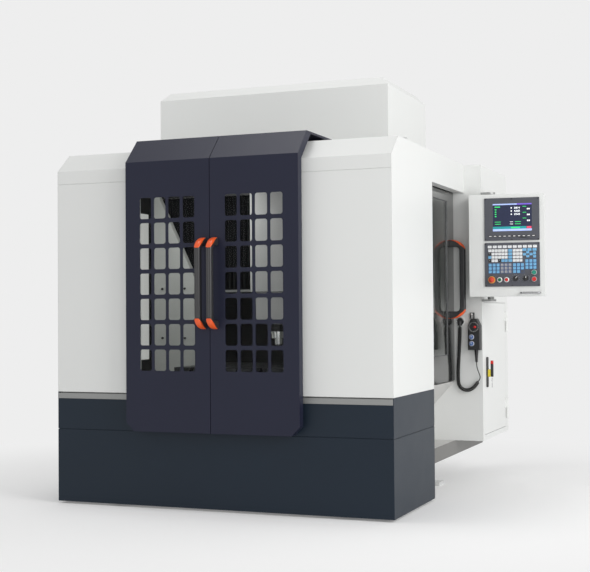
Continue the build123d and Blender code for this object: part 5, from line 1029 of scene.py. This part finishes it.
def sleeve(outer, low, high):
    """Turned sleeve with rounded rims round the spindle motor."""
    seat = seat_at((spindle_middle.x, spindle_middle.y, 0), X_AXIS, Y_AXIS, Z_AXIS)
    rim = outer - RING_EDGE
    profile = [(MOTOR_RADIUS, low), (rim, low), (outer, low + RING_EDGE), (outer, high - RING_EDGE),
               (rim, high), (MOTOR_RADIUS, high)]
    return turned(seat, profile, FINE_SIDES, hollow=True)


piece("spindle_clamp_sleeve", [sleeve(SLEEVE_RADIUS, *SLEEVE_REACH)], "head", GREY_SHEET)
piece("spindle_seal_ring", [sleeve(SEAL_RADIUS, *SEAL_REACH)], "head", BLACK)

plate_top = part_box("head_cover")[0].z - PLATE_GAP
plate_seat = front_seat(spindle_middle.x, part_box("head_slide")[0].y, plate_top - FRONT_PLATE[1] / 2)
front_plate = plate(plate_seat, *FRONT_PLATE, FRONT_PLATE_LEVELS, FRONT_PLATE_CORNER)
piece("clamp_front_plate", [front_plate], "head", GREY_SHEET)


# Ball screws: a groove of round bottom winds along each, between plain journals

THREAD_RADIUS, GROOVE_DEPTH, JOURNAL_RADIUS = 0.0122, 0.0019, 0.0097
LONG_LEAD, SHORT_LEAD = 0.016, 0.01
STEPS_PER_TURN, THREAD_SIDES = 10, 20


def ball_screw(node, across, up, out, lead, first_journal, last_journal):
    """Thread radius less depth times the square of half of (1 + cosine of turns along less angle)."""
    low, high = (np.array(corner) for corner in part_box(node))
    length = (high - low) @ out
    seat = seat_at((low + high) / 2 - length / 2 * np.asarray(out, float), across, up, out)
    thread = np.linspace(first_journal, length - last_journal, int(length / lead * STEPS_PER_TURN))
    angle = round_steps(THREAD_SIDES)
    groove = (0.5 + 0.5 * np.cos(2 * pi * thread[:, None] / lead - angle[None, :])) ** 2
    plain = np.full((2, THREAD_SIDES), JOURNAL_RADIUS)
    radius = np.concatenate([plain, THREAD_RADIUS - GROOVE_DEPTH * groove, plain])
    reach = np.concatenate([[0.0, first_journal], thread, [length - last_journal, length]])
    shares = np.broadcast_arrays(radius * np.cos(angle), radius * np.sin(angle), reach[:, None])
    rings = np.stack(shares, axis=-1)
    piece(node + "_thread", [stacked(on_seat(seat, rings))], body_of(node), STEEL, (node,))


LONG_JOURNAL, SHORT_JOURNAL = 0.04, 0.03
ball_screw("table_screw", Z_AXIS, X_AXIS, Y_AXIS, LONG_LEAD, LONG_JOURNAL, LONG_JOURNAL)
ball_screw("saddle_screw", Y_AXIS, Z_AXIS, X_AXIS, LONG_LEAD, LONG_JOURNAL, LONG_JOURNAL)
ball_screw("head_screw", X_AXIS, Y_AXIS, Z_AXIS, SHORT_LEAD, SHORT_JOURNAL, LONG_JOURNAL)


# Seal round the side window, frame and pane on the left wall, screws of the portal columns and the rear panel

SEAL_WIDTH = 0.004
SEAL_RISE = 0.0025


def flat_bar(x, start, end, rise, width):
    """Flat bar between two points (y, z) in a plane of constant X."""
    way = np.subtract(end, start) / np.hypot(*np.subtract(end, start))
    return bar_along((x, *start), (x, *end), rise, width, np.cross((0, *way), X_AXIS))


pane_low, pane_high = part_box("side_door_pane")
inset = SEAL_WIDTH / 2
front_y, rear_y, sill, top = pane_low.y + inset, pane_high.y - inset, pane_low.z + inset, pane_high.z - inset
seal_path = [(front_y, sill), (rear_y, sill), (rear_y, top), (front_y, top)]
seal_bars = [flat_bar(pane_high.x + SEAL_RISE / 2, *ends, SEAL_RISE, SEAL_WIDTH)
             for ends in zip(seal_path, seal_path[1:] + seal_path[:1])]
piece("side_window_seal", seal_bars, "sliding_side_door", MODULE)

# Dark frame and frosted pane on the inside of the left wall, seen through the left door; the pane glows with
# painted light
WALL_FRAME_Y = (-0.3, 0.217)
WALL_FRAME_Z = (0.7, 1.55)
WALL_FRAME_WIDTH = 0.14
WALL_FRAME_RISE = 0.004
PANE_LEVELS = [(0, 0), (0, WALL_FRAME_RISE / 2)]
wall_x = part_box("side_panel_left")[1].x
frame_x = wall_x + WALL_FRAME_RISE / 2
stile_y = WALL_FRAME_Y[1] + WALL_FRAME_WIDTH / 2
frame_ends = [((stile_y, WALL_FRAME_Z[0] - WALL_FRAME_WIDTH), (stile_y, WALL_FRAME_Z[1] + WALL_FRAME_WIDTH))]
frame_ends += [((WALL_FRAME_Y[0], z), (WALL_FRAME_Y[1], z))
               for z in (WALL_FRAME_Z[0] - WALL_FRAME_WIDTH / 2, WALL_FRAME_Z[1] + WALL_FRAME_WIDTH / 2)]
frame_bars = [flat_bar(frame_x, *ends, WALL_FRAME_RISE, WALL_FRAME_WIDTH) for ends in frame_ends]
piece("left_wall_frame", frame_bars, ROOT, BLACK)
pane_seat = right_seat(wall_x, sum(WALL_FRAME_Y) / 2, sum(WALL_FRAME_Z) / 2)
wall_pane = plate(pane_seat, np.ptp(WALL_FRAME_Y), np.ptp(WALL_FRAME_Z), PANE_LEVELS, WALL_FRAME_RISE)
piece("left_wall_pane", [wall_pane], ROOT, GLOWING_PANE)

CAP_SCREW = [(0.0065, 0.0), (0.0065, 0.0058), (0.0058, 0.0065), (0.0036, 0.0065), (0.0033, 0.003),
             (0.0, 0.003)]
COLUMN_SCREW_X, COLUMN_SCREW_Z = (0.52, 0.66), (0.83, 1.105)
portal_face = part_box("portal")[0].y
column_screws = [turned(front_seat(side * x, portal_face, z), CAP_SCREW, CAP_SCREW_SIDES)
                 for side in (-1, 1) for z in COLUMN_SCREW_Z for x in COLUMN_SCREW_X]
piece("column_screws", column_screws, ROOT, BLACK)

PAN_HEAD = [(0.0065, 0.0), (0.0062, 0.0016), (0.0048, 0.003), (0.0022, 0.0036), (0.0018, 0.0022),
            (0.0, 0.0022)]
PANEL_EDGE = 0.018
PANEL_PITCH = 0.28


def edge_places(size):
    """Places at an even pitch along a panel's side."""
    return np.linspace(PANEL_EDGE, size - PANEL_EDGE, round(size / PANEL_PITCH) + 1)


rear_seat = seat_at((rear_high.x, rear_high.y, rear_low.z), -X_AXIS, Z_AXIS, Y_AXIS)
columns, rows = edge_places(rear_high.x - rear_low.x), edge_places(rear_high.z - rear_low.z)
places = [(x, y) for x in columns for y in (rows[0], rows[-1])]
places += [(x, y) for y in rows[1:-1] for x in (columns[0], columns[-1])]
panel_screws = [turned(shifted(rear_seat, x, y), PAN_HEAD, SCREW_SIDES) for x, y in places]
piece("rear_panel_screws", panel_screws, ROOT, STEEL)


# Floor, light and camera

BACKGROUND = (0.855, 0.855, 0.855, 1)
FLOOR_PAINT = (0.93, 0.93, 0.93, 1)
LIGHT_WHITE = (1.0, 1.0, 1.0, 1)
FLOOR_GLOW = 0.14
FLOOR_HALF = 60.0
SHADOW_REACH = 3.2
WORLD_LIGHT = 0.46


def floor():
    """Pale floor: lit near the machine, and of the background's own tone further out."""
    points = np.array([[[x, y, 0.0] for x in (-FLOOR_HALF, FLOOR_HALF)] for y in (-FLOOR_HALF, FLOOR_HALF)])
    made = piece("studio_floor", [grid(points)], None, floor_finish(), facing=Z_AXIS)


def floor_finish():
    """Matte paint that fades with distance from the machine into an even glow of the background tone."""
    made, tree, shader = new_material("studio_floor")
    fill(tree, shader, {"Base Color": FLOOR_PAINT, "Roughness": 0.9, "Specular IOR Level": 0.0,
                        "Emission Color": LIGHT_WHITE, "Emission Strength": FLOOR_GLOW})
    glow = shader_node(tree, "Emission", {"Color": BACKGROUND}).outputs[0]
    place = shader_node(tree, "TexCoord").outputs["Object"]
    distance = shader_node(tree, "VectorMath", {0: place}, operation="LENGTH").outputs["Value"]
    reach = {"Value": distance, "From Min": SHADOW_REACH / 3, "From Max": SHADOW_REACH}
    fade = shader_node(tree, "MapRange", reach, interpolation_type="SMOOTHSTEP").outputs["Result"]
    blend = shader_node(tree, "MixShader", {0: fade, 1: shader.outputs[0], 2: glow}).outputs[0]
    fill(tree, tree.nodes["Material Output"], {"Surface": blend})
    return made


def studio_world():
    """Even light from all round; camera, mirror and glass rays see the pale background."""
    world = bpy.data.worlds.new("studio")
    bpy.context.scene.world = world
    world.use_nodes = True
    tree = world.node_tree
    light = tree.nodes["Background"]
    fill(tree, light, {"Color": LIGHT_WHITE, "Strength": WORLD_LIGHT})
    shown = shader_node(tree, "Background", {"Color": BACKGROUND}).outputs[0]
    rays = shader_node(tree, "LightPath").outputs
    seen = rays["Is Camera Ray"]
    for kind in ("Is Glossy Ray", "Is Transmission Ray"):
        seen = shader_node(tree, "Math", {0: seen, 1: rays[kind]}, operation="MAXIMUM").outputs[0]
    choose = shader_node(tree, "MixShader", {0: seen, 1: light.outputs[0], 2: shown}).outputs[0]
    fill(tree, tree.nodes["World Output"], {"Surface": choose})


def soft_panel(name, place, target, size, power):
    """Square lamp of a given size that faces a point."""
    data = bpy.data.lights.new(name, "AREA")
    data.size = size
    data.energy = power
    lamp = new_object(name, data)
    back = np.array(place, float) - np.array(target, float)
    lamp.matrix_world = Matrix.Translation(place) @ facing_matrix(back)


def facing_matrix(back):
    """Turn whose local Z points along a direction."""
    back = back / np.linalg.norm(back)
    across = np.cross(Z_AXIS if abs(back[2]) < 0.99 else Y_AXIS, back)
    across /= np.linalg.norm(across)
    return Matrix(np.column_stack([across, np.cross(back, across), back]).tolist()).to_4x4()


floor()
studio_world()
soft_panel("right_panel", (6.5, -2.5, 3.2), (0.3, 0, 1.1), 4.0, 220)
soft_panel("top_panel", (-0.9, -0.8, 6.5), (0, 0, 1.0), 1.8, 62)
soft_panel("front_fill", (4.2, -6.5, 1.6), (0.6, 0, 1.1), 3.0, 48)
soft_panel("work_lamp", (-0.28, -0.54, 1.6), (-0.28, 0, 1.0), 0.28, 2.0)

CAMERA_PLACE = (2.5733, -6.1352, 0.9697)
CAMERA_YAW = radians(21.814)
CAMERA_PITCH = radians(1.2276)
CAMERA_ROLL = radians(-0.4123)
FOCAL_PIXELS = 1222.09
PHOTO_WIDTH = 590
SENSOR_WIDTH = 36.0


def photo_camera():
    """Camera at the photo's place: yaw to the left, pitch up and a slight roll."""
    level = np.array([cos(CAMERA_YAW), sin(CAMERA_YAW), 0.0])
    forward = cos(CAMERA_PITCH) * np.cross(Z_AXIS, level) + sin(CAMERA_PITCH) * Z_AXIS
    upright = np.cross(level, forward)
    right = cos(CAMERA_ROLL) * level + sin(CAMERA_ROLL) * upright
    up = cos(CAMERA_ROLL) * upright - sin(CAMERA_ROLL) * level
    data = bpy.data.cameras.new("photo_camera")
    data.sensor_width = SENSOR_WIDTH
    data.lens = FOCAL_PIXELS * SENSOR_WIDTH / PHOTO_WIDTH
    camera = new_object("photo_camera", data)
    turn = Matrix(np.column_stack([right, up, -forward]).tolist()).to_4x4()
    camera.matrix_world = Matrix.Translation(CAMERA_PLACE) @ turn
    bpy.context.scene.camera = camera


photo_camera()
bpy.context.scene.view_settings.view_transform = "Standard"
